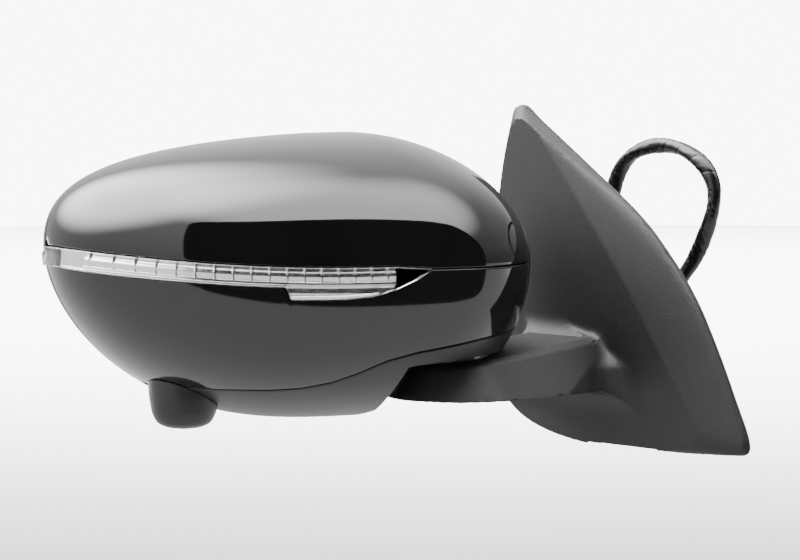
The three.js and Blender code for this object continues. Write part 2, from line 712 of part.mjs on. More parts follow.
function stripShell(l0, l1, trim, outset, inset, uCount) {
  const taper = (l) => clamp01((l - STRIP_INNER_END) / 34 + 0.12);
  const high = (l) => crownAngle(l, (STRIP_ABOVE - trim) * taper(l));
  const low = (l) => -bellyAngle(l, (STRIP_BELOW - trim) * taper(l));
  return skinShell(l0, l1, low, high, outset, inset, uCount, 3);
}

// ---------- camera pod ----------

function buildPod() {
  const { l, n } = POD_CENTRE;
  const outer = [[0, -60.6], [9, -60.3], [13.6, -58.4], [16.5, -54], [18.2, -46], [19.5, -30], [0, -30]];
  const inner = [[0, -57.6], [8.4, -57.4], [11.8, -55.8], [13.8, -52], [15, -45], [15, 0], [0, 0]];
  const shell = cut(turned(outer, at(l, n, 0), at(0, 0, 1), 20), turned(inner, at(l, n, 0), at(0, 0, 1), 16));
  const port = rod(6.5, at(l, n, -72), at(l, n, -52), 20);
  return cut(shell, headBody(-0.5, -20, 30, 26), port);
}

// ---------- glass drive ----------

const CASE_SCREWS = [[-35, 38], [43, 38], [43, -18]];
const SCREW_SEAT = CASE_BACK + 2.1;
const FOLD_SCREWS = [[-32, 22], [-82, 22], [-32, -7]];

// A rectangle in (l, z) with round corners.
function roundedOutline(left, right, low, high, round) {
  const corners = [[right, low, -90], [right, high, 0], [left, high, 90], [left, low, 180]];
  return corners.flatMap(([l, z, start]) => [0, 30, 60, 90].map((turn) => {
    const centre = at(l > left ? l - round : l + round, z > low ? z - round : z + round, 0);
    const angle = (start + turn) * DEG;
    return new THREE.Vector2(centre.x + round * Math.cos(angle), centre.y + round * Math.sin(angle));
  }));
}

const caseOutline = () => roundedOutline(-40, 48, -23, 43, 8);

const inLine = (l, nFrom, z, nTo) => [at(l, nFrom, z), at(l, nTo, z)];
const PITCH = { l: GIMBAL.x, z: GIMBAL.z - PLUNGER_ARM };
const YAW = { l: GIMBAL.x + PLUNGER_ARM, z: GIMBAL.z };

function drivePost(radius, nFrom, nTo) {
  return CASE_SCREWS.map(([l, z]) => rod(radius, ...inLine(l, nFrom, z, nTo), 14));
}

function buildCaseFront(clearOfArm) {
  const outline = caseOutline();
  const shell = cut(
    plateOf(outline, CASE_SPLIT, CASE_SPLIT - CASE_BACK),
    plateOf(offsetOutline(outline, -2.2), CASE_SPLIT + 1, CASE_SPLIT - CASE_BACK - 1.2),
  );
  const cup = rod(17.6, ...inLine(GIMBAL.x, CASE_BACK, GIMBAL.z, 7.2), 20);
  const cupHollow = rod(15.6, ...inLine(GIMBAL.x, CASE_BACK - 2, GIMBAL.z, 5.4), 20);
  const ears = [-1, 1].map((side) => {
    const near = GIMBAL.x + side * 15.4;
    const far = GIMBAL.x + side * 18.6;
    return box(at(Math.min(near, far), -3.4, GIMBAL.z - 4), at(Math.max(near, far), CASE_BACK + 1, GIMBAL.z + 4));
  });
  const earBore = rod(1.8, at(GIMBAL.x - 24, GIMBAL.y, GIMBAL.z), at(GIMBAL.x + 24, GIMBAL.y, GIMBAL.z), 14);
  const bores = [PITCH, YAW].map(({ l, z }) => rod(4.6, ...inLine(l, 0, z, 9), 18));
  const screwBores = drivePost(1.9, 0, 30);
  const posts = drivePost(4, CASE_BACK + 1, CASE_SPLIT);
  const body = join(cut(join(shell, cup), cupHollow), ...ears, ...posts);
  const heads = drivePost(3.5, 0, SCREW_SEAT);
  return cut(body, earBore, clearOfArm, ...bores, ...screwBores, ...heads);
}

function buildCaseRear(clearOfArm) {
  const outline = caseOutline();
  const shell = cut(
    plateOf(outline, CASE_FRONT, CASE_FRONT - CASE_SPLIT - GAP),
    plateOf(offsetOutline(outline, -2.2), CASE_FRONT - 2.2, CASE_FRONT - CASE_SPLIT),
  );
  const posts = drivePost(4, CASE_SPLIT + GAP, CASE_FRONT);
  return cut(join(shell, ...posts), clearOfArm, ...drivePost(1.9, 0, 30));
}

function motor(from, to, radius, matrix) {
  const length = from.distanceTo(to);
  const profile = [[0, 0], [radius * 0.6, 0], [radius, 1.5], [radius, length - 1.5], [3, length - 1.5], [3, length]];
  return turned([...profile, [0, length]], from, to.clone().sub(from), 20, matrix);
}

function plunger(l, z) {
  const profile = [[0, -4.2], [2.6, -3.6], [3.9, -1.6], [3.9, 0.2], [2.2, 2.2], [3.4, 3], [3.4, 17], [0, 17]];
  return turned(profile, at(l, 0, z), at(0, 1, 0), 16);
}

function screwGear(l, z) {
  const outline = gearOutline(GEAR_RADIUS, 16, 1.2).map((point) => point.add(new THREE.Vector2(l, z)));
  return cut(plateOf(ccw(outline), DRIVE_DEPTH + 3, 6), rod(3.8, ...inLine(l, 0, z, 30), 16));
}

function buildGimbal() {
  const { x: l, y: n, z } = GIMBAL;
  const ring = tube(14, 10.2, at(l, n - 2.4, z), at(l, n + 2.4, z), 20);
  const outer = [-1, 1].map((side) => rod(1.5, at(l + side * 13, n, z), at(l + side * 18.4, n, z), 12));
  const inner = [-1, 1].map((side) => rod(1.8, at(l, n, z + side * 11), at(l, n, z + side * 5.4), 12));
  return join(ring, ...outer, ...inner);
}

function buildHolder() {
  const { x: l, y: n, z } = GIMBAL;
  const plate = plateOf(glassOutline(-1.5), -6.8, 2);
  const hub = rod(8, ...inLine(l, -7.5, z, 2.2), 24);
  const bore = rod(2.1, at(l, n, z - 12), at(l, n, z + 12), 14);
  const hubCore = rod(4.2, ...inLine(l, -5, z, 4), 16);
  const sockets = [PITCH, YAW].map((spot) => tube(7.2, 5.4, ...inLine(spot.l, -7.4, spot.z, -2.6), 20));
  return cut(join(plate, hub, ...sockets), bore, hubCore);
}

function buildGlass() {
  const shape = new THREE.Shape(glassOutline(-0.4));
  const bevel = { bevelSize: 0.4, bevelThickness: 0.4, bevelSegments: 1 };
  const geometry = new THREE.ExtrudeGeometry(shape, { depth: GLASS_THICKNESS - 0.8, ...bevel });
  return solid(geometry.rotateX(Math.PI / 2).translate(0, GLASS_FACE + GLASS_THICKNESS - 0.4, 0));
}

function buildGlassDrive(clearOfArm) {
  const worms = [
    ['pitch', PITCH.l, PITCH.z + WORM_OFFSET],
    ['yaw', YAW.l, YAW.z + WORM_OFFSET],
  ];
  piece(head, 'actuator_case_front', buildCaseFront(clearOfArm), BLACK_NYLON);
  piece(head, 'actuator_case_rear', buildCaseRear(clearOfArm), BLACK_NYLON);
  for (const [name, l, z] of worms) {
    const wormStart = at(l + 11, DRIVE_DEPTH, z);
    const wormEnd = at(l - 12, DRIVE_DEPTH, z);
    piece(head, `${name}_worm`, worm(wormStart, wormEnd, WORM_RADIUS, 3.6), STEEL);
    piece(head, `${name}_motor`, motor(at(l - 38, DRIVE_DEPTH, z), at(l - 12.5, DRIVE_DEPTH, z), MOTOR_RADIUS), STEEL);
  }
  piece(head, 'pitch_gear', screwGear(PITCH.l, PITCH.z), WHITE_ACETAL);
  piece(head, 'yaw_gear', screwGear(YAW.l, YAW.z), WHITE_ACETAL);
  piece(head, 'pitch_plunger', plunger(PITCH.l, PITCH.z), WHITE_ACETAL);
  piece(head, 'yaw_plunger', plunger(YAW.l, YAW.z), WHITE_ACETAL);
  piece(head, 'gimbal_ring', buildGimbal(), WHITE_ACETAL);
  piece(head, 'glass_holder', buildHolder(), BLACK_NYLON);
  piece(head, 'heater_pad', plateOf(glassOutline(-4), -9.1, 0.6), HEATER_FOIL);
  piece(head, 'mirror_glass', buildGlass(), MIRROR);
  CASE_SCREWS.forEach(([l, z], i) => {
    piece(head, `case_screw_${i + 1}`, screw(at(l, SCREW_SEAT - GAP, z), at(0, 1, 0), 29), STEEL);
  });
}

// ---------- fold drive ----------

// The two halves of the fold drive's case, in the pivot's axes, before they are fitted to the head.
function foldBlock(low, high, wall) {
  const [back, front, inner, outer] = [-21 + wall, 21 - wall, -24 + wall, 52 - wall];
  const block = new THREE.BoxGeometry(outer - inner, front - back, high - low);
  return solid(block.translate((outer + inner) / 2, (front + back) / 2, (low + high) / 2), pivotInHead);
}

function foldLugs(spots, bore) {
  return spots.map(([l, z]) => rod(bore ? 1.9 : 4.6, ...inLine(l, PLATE_FRONT + GAP, z, bore ? 50 : 42), 14));
}

function buildFoldLower(inside) {
  const spots = [FOLD_SCREWS[2]];
  const shell = cut(foldBlock(12.8, 27, 0), foldBlock(15.2, 30, 2.4));
  const shaftHole = onAxisInHead(SHAFT_RADIUS + 0.6, 0, 30);
  const body = join(shell, ...foldLugs(spots, false));
  return cut(body.intersect(inside), shaftHole, ...foldLugs(spots, true));
}

function buildFoldUpper(inside) {
  const spots = FOLD_SCREWS.slice(0, 2);
  const shell = cut(foldBlock(27.4, 62, 0), foldBlock(20, 59.6, 2.4));
  const body = join(shell, ...foldLugs(spots, false));
  return cut(body.intersect(inside), ...foldLugs(spots, true));
}

function buildSpring() {
  const turns = 4.5;
  const coil = new THREE.Curve();
  coil.getPoint = (t, target = new THREE.Vector3()) => {
    const angle = t * turns * 2 * Math.PI;
    return target.set(13.6 * Math.cos(angle), 13.6 * Math.sin(angle), 29.5 + 19 * t);
  };
  const section = new THREE.Shape();
  section.absarc(0, 0, 1.5, 0, 2 * Math.PI, false);
  return solid(new THREE.ExtrudeGeometry(section, {
    steps: turns * 12,
    curveSegments: 3,
    extrudePath: coil,
    bevelEnabled: false,
  }));
}

const WORM_X = 17 + 4.4 + 0.4;

function buildFoldDrive() {
  const inside = headBody(10.8, -4);
  piece(head, 'fold_case_lower', buildFoldLower(inside), CAST_METAL);
  piece(head, 'fold_case_upper', buildFoldUpper(inside), BLACK_NYLON);
  const clutch = detentRing(16, SHAFT_RADIUS + 0.5, 9.5, 3, false);
  piece(pivot, 'fold_worm', worm(at(WORM_X, 14, 20), at(WORM_X, -14, 20), 4.4, 4), STEEL);
  piece(pivot, 'fold_motor', motor(at(38.2, 0, 57), at(38.2, 0, 16), 11), STEEL);
  piece(pivot, 'fold_spring', buildSpring(), STEEL);
  const cup = tube(17, SHAFT_RADIUS + 0.5, at(0, 0, 25), at(0, 0, 27.2), 28);
  piece(pivot, 'spring_cup', cup, STEEL);
  piece(pivot, 'clutch_ring', clutch, STEEL);
  FOLD_SCREWS.forEach(([l, z], i) => {
    piece(head, `fold_screw_${i + 1}`, screw(at(l, PLATE_BACK - GAP, z), at(0, 1, 0), 12), STEEL);
  });
}

// ---------- head ----------

function buildHead() {
  const sweep = armSweep(1);
  const clearOfArm = armSweep(4.2);
  piece(head, 'upper_cap', buildCap(sweep), GLOSS_BLACK);
  piece(head, 'lower_cover', buildLowerCover(sweep), GLOSS_GREY);
  piece(head, 'bottom_trim', buildBottomTrim(sweep), SATIN_BLACK);
  piece(head, 'rear_housing', buildRearHousing(sweep), SATIN_BLACK);
  piece(head, 'pivot_cover', buildPivotCover(sweep), SATIN_BLACK);
  piece(head, 'head_frame', buildFrame(clearOfArm), BLACK_NYLON);
  piece(head, 'indicator_lens', stripShell(STRIP_INNER_END, HEAD_OUTER, 0.2, STRIP_PROUD, 0.4, 24), CLEAR_LENS);
  piece(head, 'indicator_reflector', stripShell(-14, 130, 0.6, -0.8, 2.2, 20), CHROME);
  piece(head, 'indicator_board', stripShell(-8, 122, 1, -2.8, 4.2, 14), BOARD_GREEN);
  piece(head, 'indicator_housing', stripShell(-14, 126, 0.6, -4.6, 6.8, 14), BLACK_NYLON);
  piece(head, 'camera_pod', buildPod(), SATIN_BLACK);
  const { l, n } = POD_CENTRE;
  piece(head, 'camera_body', rod(10.5, at(l, n, -53.5), at(l, n, -41), 20), BLACK_NYLON);
  const lens = [[0, -1.6], [3, -1.3], [5, -0.6], [6, 0.6], [6, 6], [0, 6]];
  piece(head, 'camera_lens', turned(lens, at(l, n, -60), at(0, 0, 1), 20), LENS_GLASS);
  buildGlassDrive(clearOfArm);
  buildFoldDrive();
}

buildDoorSide();
buildHead();

export default mirror;
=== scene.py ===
"""A power-folding car door mirror: the surfaces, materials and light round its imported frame.

Shapes are worked out in millimetres in the frame's own axes and turned into metres as meshes are made.
The head's own axes are l (outboard along the head), n (forward) and z (up).
"""

import math

import bmesh
import bpy
import numpy as np
from mathutils import Matrix, Vector


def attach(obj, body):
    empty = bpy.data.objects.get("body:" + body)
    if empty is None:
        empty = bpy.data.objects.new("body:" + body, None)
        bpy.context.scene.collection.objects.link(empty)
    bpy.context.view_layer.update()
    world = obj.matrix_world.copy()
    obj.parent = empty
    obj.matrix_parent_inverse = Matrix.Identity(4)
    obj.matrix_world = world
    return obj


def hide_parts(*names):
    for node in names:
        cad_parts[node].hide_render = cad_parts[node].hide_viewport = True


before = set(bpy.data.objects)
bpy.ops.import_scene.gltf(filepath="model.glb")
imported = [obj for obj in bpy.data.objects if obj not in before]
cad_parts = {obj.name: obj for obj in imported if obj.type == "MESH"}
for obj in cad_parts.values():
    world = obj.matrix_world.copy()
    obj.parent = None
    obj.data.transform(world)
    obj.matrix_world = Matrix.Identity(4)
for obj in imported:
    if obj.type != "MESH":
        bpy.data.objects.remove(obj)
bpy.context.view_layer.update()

MM = 0.001
POLE_RADIUS = 0.02

# Head: its place, its sweep and the form of its outer skin, as on the frame.
HEAD_ORIGIN = np.array([-144.85, 86.27, 0.0])
HEAD_SWEEP = math.radians(20)
HEAD_OUTER = 137.5
HEAD_INNER = -120.0
WAIST_HEIGHT = 25.0
WAIST_RISE = 8.5
DEPTH = {"peak": 112.0, "at": -42.0, "outer": (2.0, 2.0), "inner": (2.35, 2.3)}
CROWN = {"peak": 67.8, "at": -32.0, "outer": (2.15, 2.5), "inner": (1.85, 2.0)}
BELLY = {"peak": 85.0, "at": -20.0, "outer": (2.6, 1.75), "inner": (2.6, 2.4)}
DEPTH_POWER = 0.92
CROWN_POWER = 0.95
SHELL = 2.4
EDGE = math.radians(89.8)
CAP_INNER_END = -107.0
CAP_OUTER_END = HEAD_OUTER - 0.06
TRIM_OUTER_END = 76.0
TRIM_SEAM = [
    (-107, -9), (-66, -13), (-30, -18.5), (-15, -22.5), (-2, -29), (10, -34), (24, -37), (38, -38), (138, -38),
]
STRIP_INNER_END = -30.0
STRIP_RISE = [(-30, 0.5), (-13, 1.8), (138, 1.8)]
STRIP_DROP = [(-30, 0.9), (-22, 5.5), (-12, 10), (0, 13.2), (14, 14.4), (40, 14.8), (42.5, 8.4), (138, 8.4)]
STRIP_PROUD = 2.6
STRIP_CELL = 8.4
CELLS_END = 127.0

# Fold pivot, arm and sail.
PIVOT = np.array([-96.95, 10.31, -26.5])
PIVOT_LEAN = math.radians(5)
FOLD_BACK = 70
FOLD_FORWARD = 50
ARM_TOP_RADIUS = 28.0
ARM_SLOPE = 0.61
ARM_ROOT_SLOPE = 0.37
ARM_FLOOR = -46.8
SAIL_FACE = -11.0
SAIL_RIM = -3.0
SAIL_WALL = 2.6
SAIL_EDGE = [
    (57, 102), (54.5, 106), (49.6, 106.6), (38, 98.5), (-1, 72), (-38, 45.6), (-59, 24.8), (-76, 3.4),
    (-90, -21.2), (-102, -46), (-112.5, -71), (-111, -75.6), (-60, -73.6), (-12, -70.4), (46, -64.4),
    (57, -62), (58.5, -56),
]
SAIL_CREST = [(49, 99), (36, 95), (19, 77), (-9, 42), (-38, 4), (-60, -31), (-84, -70), (52, -60)]
SAIL_STEP, SAIL_QUICK_STEP = 1.6, 2.2
FAIRING_START = -18.0
FAIRING_END = -3.5

# Glass outline in (l, z), the camera pod's centre in (l, n), and the harness.
GLASS_CORNERS = [
    (99, 20), (94, 42), (72, 62), (38, 73), (0, 77), (-34, 75), (-66, 63), (-83, 42), (-88, 20), (-85, 5),
    (-66, -3), (-44, -9), (-26, -21), (-12, -36), (8, -43), (36, -44.5), (64, -36), (86, -17), (97, 1),
]
GLASS_MIDDLE = np.array([4.0, 17.0])
GLASS_FACE = -12.0
GLASS_THICKNESS = 2.0
POD_CENTRE = (69.0, 20.0)
SLEEVE_RADIUS = 4.0
GROMMET = np.array([-8.0, 8.0, 28.0])
STUDS = [(38, -42), (30, 52), (-52, -34)]
THREAD_PITCH = 1.0
HARNESS = [
    (4.8, 8, 28), (12, 8, 28), (20, 9, 30), (26, 11.5, 36), (29, 12, 46), (30, 11.5, 57), (30, 8, 67.5),
    (30, 1, 76.5), (29, -9, 82), (28, -21, 84.5), (27.5, -33, 84.5), (27, -44, 82), (26.5, -54, 77),
    (26.5, -61, 70), (26.5, -64.5, 60.5), (26.5, -63.5, 50), (26.5, -59.5, 39.5), (27, -54, 29),
    (27.5, -46.5, 18.5), (28, -38, 9.5), (28, -29, 2), (28, -19, -3), (28, -8, -5), (28, 2, -5),
]


# Studio: the camera in metres, the floor and the black card in millimetres, and levels of light.
CAMERA_LENS = 127.35
CAMERA_PLACE = (-1.15835, -1.04691, 0.11955)
CAMERA_AIM = (-0.11890, 0.02947, 0.01492)
FLOOR_Z = -300.0
FLOOR_RADIUS = 6800.0
TENT_LEVEL = 1.5
BACKDROP_LEVEL = 9.0
DOME_LEVELS = ((0.0, 1.2), (0.3, 1.5), (0.6, 1.8), (1.0, 2.3))
# A patch is its direction, the cosines where it starts and is whole, and what it adds.
PATCHES = [
    ((-0.329, 0.470, 0.819), (0.68, 0.97), 17.0),
    ((0.0, -0.423, 0.906), (0.72, 0.95), 6.0),
    ((0.86, -0.5, 0.05), (0.45, 0.85), -0.9),
]
FLAG_AZIMUTH = math.radians(-16)
FLAG_MIDDLE = np.array([-150.0, 0, 0])
FLAG_DISTANCE = 500.0
FLAG_OUTLINE = [
    (-735, FLOOR_Z), (606, FLOOR_Z), (606, 200), (486, 437), (329, 644), (33, 776), (-347, 803), (-777, 997),
]


# ---------- camera ----------

def add_object(name, data):
    obj = bpy.data.objects.new(name, data)
    bpy.context.scene.collection.objects.link(obj)
    return obj


def look_at(obj, place, aim):
    obj.location = place
    obj.rotation_euler = (Vector(aim) - Vector(place)).to_track_quat("-Z", "Y").to_euler()


def make_camera():
    data = bpy.data.cameras.new("view")
    data.lens = CAMERA_LENS
    data.sensor_width = 36.0
    data.clip_start = 0.05
    data.clip_end = 60.0
    camera = add_object("view", data)
    look_at(camera, CAMERA_PLACE, CAMERA_AIM)
    bpy.context.scene.camera = camera


make_camera()


# ---------- frames ----------

HEAD_AXES = np.array([
    [-math.cos(HEAD_SWEEP), math.sin(HEAD_SWEEP), 0],
    [-math.sin(HEAD_SWEEP), -math.cos(HEAD_SWEEP), 0],
    [0, 0, 1],
])
PIVOT_AXES = np.array(
    (Matrix.Rotation(-PIVOT_LEAN, 3, "Y") @ Matrix.Rotation(math.pi - HEAD_SWEEP, 3, "Z")).transposed()
)


def from_head(points):
    return HEAD_ORIGIN + np.asarray(points, float) @ HEAD_AXES


def from_pivot(points):
    return PIVOT + np.asarray(points, float) @ PIVOT_AXES


# ---------- meshes ----------

def mesh_object(name, points, faces):
    """A new object from points in millimetres in the frame's axes."""
    mesh = bpy.data.meshes.new(name)
    mesh.from_pydata((np.asarray(points) * MM).tolist(), [], [list(map(int, f)) for f in faces])
    mesh.update()
    obj = add_object(name, mesh)
    face_out(mesh)
    return obj


def face_out(mesh):
    work = bmesh.new()
    work.from_mesh(mesh)
    bmesh.ops.recalc_face_normals(work, faces=work.faces)
    work.to_mesh(mesh)
    work.free()


def object_of(name, work):
    """A new object with the faces of a bmesh, which is freed."""
    mesh = bpy.data.meshes.new(name)
    work.to_mesh(mesh)
    work.free()
    return add_object(name, mesh)


def boolean(obj, other, operation):
    """Cuts obj with other, joins them or keeps what they share, and removes other."""
    modifier = obj.modifiers.new("boolean", "BOOLEAN")
    modifier.object = other
    modifier.operation = operation
    modifier.solver = "EXACT"
    graph = bpy.context.evaluated_depsgraph_get()
    mesh = bpy.data.meshes.new_from_object(obj.evaluated_get(graph))
    obj.modifiers.clear()
    obj.data = mesh
    bpy.data.objects.remove(other)


def cut(obj, *others):
    for other in others:
        boolean(obj, other, "DIFFERENCE")


def join(obj, *others):
    for other in others:
        boolean(obj, other, "UNION")


def bevel(obj, width, segments, angle):
    modifier = obj.modifiers.new("bevel", "BEVEL")
    modifier.width = width * MM
    modifier.segments = segments
    modifier.limit_method = "ANGLE"
    modifier.angle_limit = math.radians(angle)


def smooth(obj, angle):
    obj.data.polygons.foreach_set("use_smooth", [True] * len(obj.data.polygons))
    obj.data.set_sharp_from_angle(angle=math.radians(angle))


def hull(name, points):
    work = bmesh.new()
    for point in np.asarray(points) * MM:
        work.verts.new(point)
    made = bmesh.ops.convex_hull(work, input=work.verts)
    spare = set(made["geom_interior"]) | set(made["geom_unused"])
    loose = [g for g in spare if isinstance(g, bmesh.types.BMVert)]
    bmesh.ops.delete(work, geom=loose, context="VERTS")
    bmesh.ops.recalc_face_normals(work, faces=work.faces)
    return object_of(name, work)


def grid_faces(rows, columns, wrap_rows=False, wrap_columns=False):
    """Quads of a grid of points numbered row by row."""
    r = np.arange(rows if wrap_rows else rows - 1)
    c = np.arange(columns if wrap_columns else columns - 1)
    r, c = (x.ravel() for x in np.meshgrid(r, c, indexing="ij"))
    r2, c2 = (r + 1) % rows, (c + 1) % columns
    return np.stack([r * columns + c, r2 * columns + c, r2 * columns + c2, r * columns + c2], 1)


def lofted(name, rings, closed=False):
    """A skin through rings of points; a ring-shaped body if closed, or else one with flat ends."""
    rings = np.asarray(rings)
    rows, columns = rings.shape[:2]
    faces = [tuple(f) for f in grid_faces(rows, columns, wrap_rows=closed, wrap_columns=True)]
    if not closed:
        faces += [tuple(range(columns)), tuple(range((rows - 1) * columns, rows * columns))]
    return mesh_object(name, rings.reshape(-1, 3), faces)


def rounded_profile(corners, radius, steps=4, closed=False):
    """A polyline with its corners turned into arcs of the given radius, or as large as fits."""
    points = [np.asarray(c, float) for c in corners]
    count = len(points)
    out = []
    for i, point in enumerate(points):
        if not closed and i in (0, count - 1):
            out.append(point)
            continue
        before, after = points[i - 1], points[(i + 1) % count]
        a, b = before - point, after - point
        la, lb = np.linalg.norm(a), np.linalg.norm(b)
        reach = min(radius, 0.45 * la, 0.45 * lb)
        start, end = point + a / la * reach, point + b / lb * reach
        for t in np.linspace(0, 1, steps + 1):
            out.append((1 - t) ** 2 * start + 2 * t * (1 - t) * point + t ** 2 * end)
    return np.array(out)


def circle(radius, height, count):
    angle = np.linspace(0, 2 * math.pi, count, endpoint=False)
    return np.stack([radius * np.cos(angle), radius * np.sin(angle), np.full(count, height)], 1)


def turned(name, profile, base, direction, segments=64, place=None):
    """A profile of (radius, height) turned about the line that leaves base along direction."""
    spin = np.array(Vector((0, 0, 1)).rotation_difference(Vector(direction)).to_matrix())
    rings = [circle(max(radius, POLE_RADIUS), height, segments) for radius, height in profile]
    closed = np.allclose(profile[0], profile[-1])
    rings = np.array(rings[:-1] if closed else rings) @ spin.T + np.asarray(base, float)
    if place is not None:
        rings = place(rings)
    return lofted(name, rings, closed=closed)


def plug(radius, low, high, base=(0, 0, 0), place=None):
    """An upright cylinder to cut a hole with."""
    profile = [(0, low), (radius, low), (radius, high), (0, high)]
    return turned("plug", profile, base, (0, 0, 1), place=place)


def rounded_box(name, low, high, radius):
    """A box whose edges and corners are round."""
    low, high = np.asarray(low, float), np.asarray(high, float)
    work = bmesh.new()
    bmesh.ops.create_cube(work, size=1)
    for vert in work.verts:
        vert.co = Vector((low + high) / 2 + np.array(vert.co) * (high - low)) * MM
    bmesh.ops.bevel(work, geom=work.edges[:], offset=radius * MM, segments=4, profile=0.5, affect="EDGES")
    obj = object_of(name, work)
    face_out(obj.data)
    return obj


# ---------- implicit solids ----------

def hull_planes(points):
    """Unit normals and offsets of the faces of a convex hull."""
    obj = hull("planes", points)
    normals = np.array([f.normal for f in obj.data.polygons])
    centres = np.array([f.center for f in obj.data.polygons]) / MM
    bpy.data.objects.remove(obj)
    return normals, (normals * centres).sum(1)


def convex_field(points):
    """How far outside the points' convex hull a place is, by its farthest face."""
    normals, offsets = hull_planes(points)

    def field(at):
        out = np.empty(len(at))
        for start in range(0, len(at), 40000):
            part = at[start:start + 40000]
            out[start:start + 40000] = (part @ normals.T - offsets).max(1)
        return out

    return field


def blend_union(a, b, reach):
    """The union of two fields with a fillet of about the given reach."""
    share = np.maximum(reach - np.abs(a - b), 0) / reach
    return np.minimum(a, b) - share ** 2 * reach / 4


def slope_of(field, points, value):
    reach = 0.02
    return np.stack([field(points + reach * e) - value for e in np.eye(3)], 1) / reach


def surface_net(name, field, low, high, step):
    """A mesh of the surface where field is zero, by dual contouring.

    Each crossed cell gets one point, set where the tangent planes at its crossings meet.
    """
    axes = [np.arange(a, b + step, step) for a, b in zip(low, high)]
    grid = np.stack(np.meshgrid(*axes, indexing="ij"), -1)
    value = field(grid.reshape(-1, 3)).reshape(grid.shape[:3])
    inside = value < 0
    size = np.array(value.shape) - 1
    corners = np.array([(i, j, k) for i in (0, 1) for j in (0, 1) for k in (0, 1)])
    filled = sum(
        inside[i:size[0] + i, j:size[1] + j, k:size[2] + k].astype(np.int8) for i, j, k in corners
    )
    crossed = (filled > 0) & (filled < 8)
    number = np.full(crossed.shape, -1)
    number[crossed] = np.arange(crossed.sum())
    cells = np.argwhere(crossed)
    hits = []
    for a in corners:
        for axis in np.flatnonzero(a == 0):
            b = a + np.eye(3, dtype=int)[axis]
            va, vb = value[tuple((cells + a).T)], value[tuple((cells + b).T)]
            meets = np.flatnonzero((va < 0) != (vb < 0))
            share = (va / np.where(va == vb, 1, va - vb))[meets, None]
            points = (cells[meets] + a + share * (b - a)) * step + np.array(low)
            slope = slope_of(field, points, field(points))
            hits.append((meets, points, slope / np.linalg.norm(slope, axis=1)[:, None]))
    count, total = np.zeros((len(cells), 1)), np.zeros((len(cells), 3))
    for meets, points, _ in hits:
        count[meets] += 1
        total[meets] += points
    middle = total / count
    square, pull = np.tile(0.08 * np.eye(3), (len(cells), 1, 1)), np.zeros((len(cells), 3))
    for meets, points, normal in hits:
        square[meets] += normal[:, :, None] * normal[:, None, :]
        pull[meets] += normal * ((points - middle[meets]) * normal).sum(1)[:, None]
    move = np.linalg.solve(square, pull[..., None])[..., 0]
    far = np.linalg.norm(move, axis=1)[:, None]
    points = middle + move * np.minimum(1, 0.9 * step / np.maximum(far, 1e-9))
    return mesh_object(name, points, net_faces(inside, number))


def net_faces(inside, number):
    """A quad round each grid edge that crosses the surface."""
    faces = []
    for axis in range(3):
        first = np.take(inside, range(inside.shape[axis] - 1), axis)
        second = np.take(inside, range(1, inside.shape[axis]), axis)
        edges = np.argwhere(first != second)
        u, v = (axis + 1) % 3, (axis + 2) % 3
        edges = edges[(edges[:, u] > 0) & (edges[:, v] > 0)]
        edges = edges[(edges[:, u] < number.shape[u]) & (edges[:, v] < number.shape[v])]
        du, dv = np.eye(3, dtype=int)[u], np.eye(3, dtype=int)[v]
        around = [edges, edges - du, edges - du - dv, edges - dv]
        faces.append(np.stack([number[tuple(e.T)] for e in around], 1))
    return np.concatenate(faces)


# ---------- curves ----------

def through(points, closed, count):
    """Points along a centripetal Catmull-Rom curve through the given points."""
    p = [np.asarray(x, float) for x in points]
    p = [p[-1], *p, p[0], p[1]] if closed else [2 * p[0] - p[1], *p, 2 * p[-1] - p[-2]]
    out = []
    for a, b, c, d in zip(p, p[1:], p[2:], p[3:]):
        gaps = [max(np.linalg.norm(y - x) ** 0.5, 1e-6) for x, y in ((a, b), (b, c), (c, d))]
        m1 = ((b - a) / gaps[0] - (c - a) / (gaps[0] + gaps[1]) + (c - b) / gaps[1]) * gaps[1]
        m2 = ((c - b) / gaps[1] - (d - b) / (gaps[1] + gaps[2]) + (d - c) / gaps[2]) * gaps[1]
        for t in np.linspace(0, 1, 24, endpoint=False):
            out.append((2 * t ** 3 - 3 * t ** 2 + 1) * b + (t ** 3 - 2 * t ** 2 + t) * m1
                       + (-2 * t ** 3 + 3 * t ** 2) * c + (t ** 3 - t ** 2) * m2)
    out.append(p[-2])
    out = np.array(out)
    run = np.concatenate([[0], np.cumsum(np.linalg.norm(np.diff(out, axis=0), axis=1))])
    where = np.linspace(0, run[-1], count, endpoint=not closed)
    return np.stack([np.interp(where, run, out[:, k]) for k in range(out.shape[1])], 1)


def offset_outline(outline, distance):
    """A counter-clockwise outline moved outwards."""
    step = np.roll(outline, -1, 0) - np.roll(outline, 1, 0)
    normal = np.stack([step[:, 1], -step[:, 0]], 1)
    return outline + distance * normal / np.linalg.norm(normal, axis=1)[:, None]


def counter_clockwise(outline):
    outline = np.asarray(outline, float)
    x, y = outline[:, 0], outline[:, 1]
    area = (x * np.roll(y, -1) - np.roll(x, -1) * y).sum()
    return outline if area > 0 else outline[::-1]


# ---------- head skin ----------

def swell(form, l, inset):
    """How far the head's skin stands out at station l."""
    outboard = l > form["at"]
    span = np.where(outboard, HEAD_OUTER - inset - form["at"], form["at"] - HEAD_INNER - inset)
    power = np.where(outboard, form["outer"][0], form["inner"][0])
    root = np.where(outboard, form["outer"][1], form["inner"][1])
    share = np.clip(np.abs(l - form["at"]) / span, 0, 1)
    return (form["peak"] - inset) * (1 - share ** power) ** (1 / root)


def waist(l):
    return WAIST_HEIGHT + WAIST_RISE * np.clip((l - 10) / 127, 0, 1) ** 2


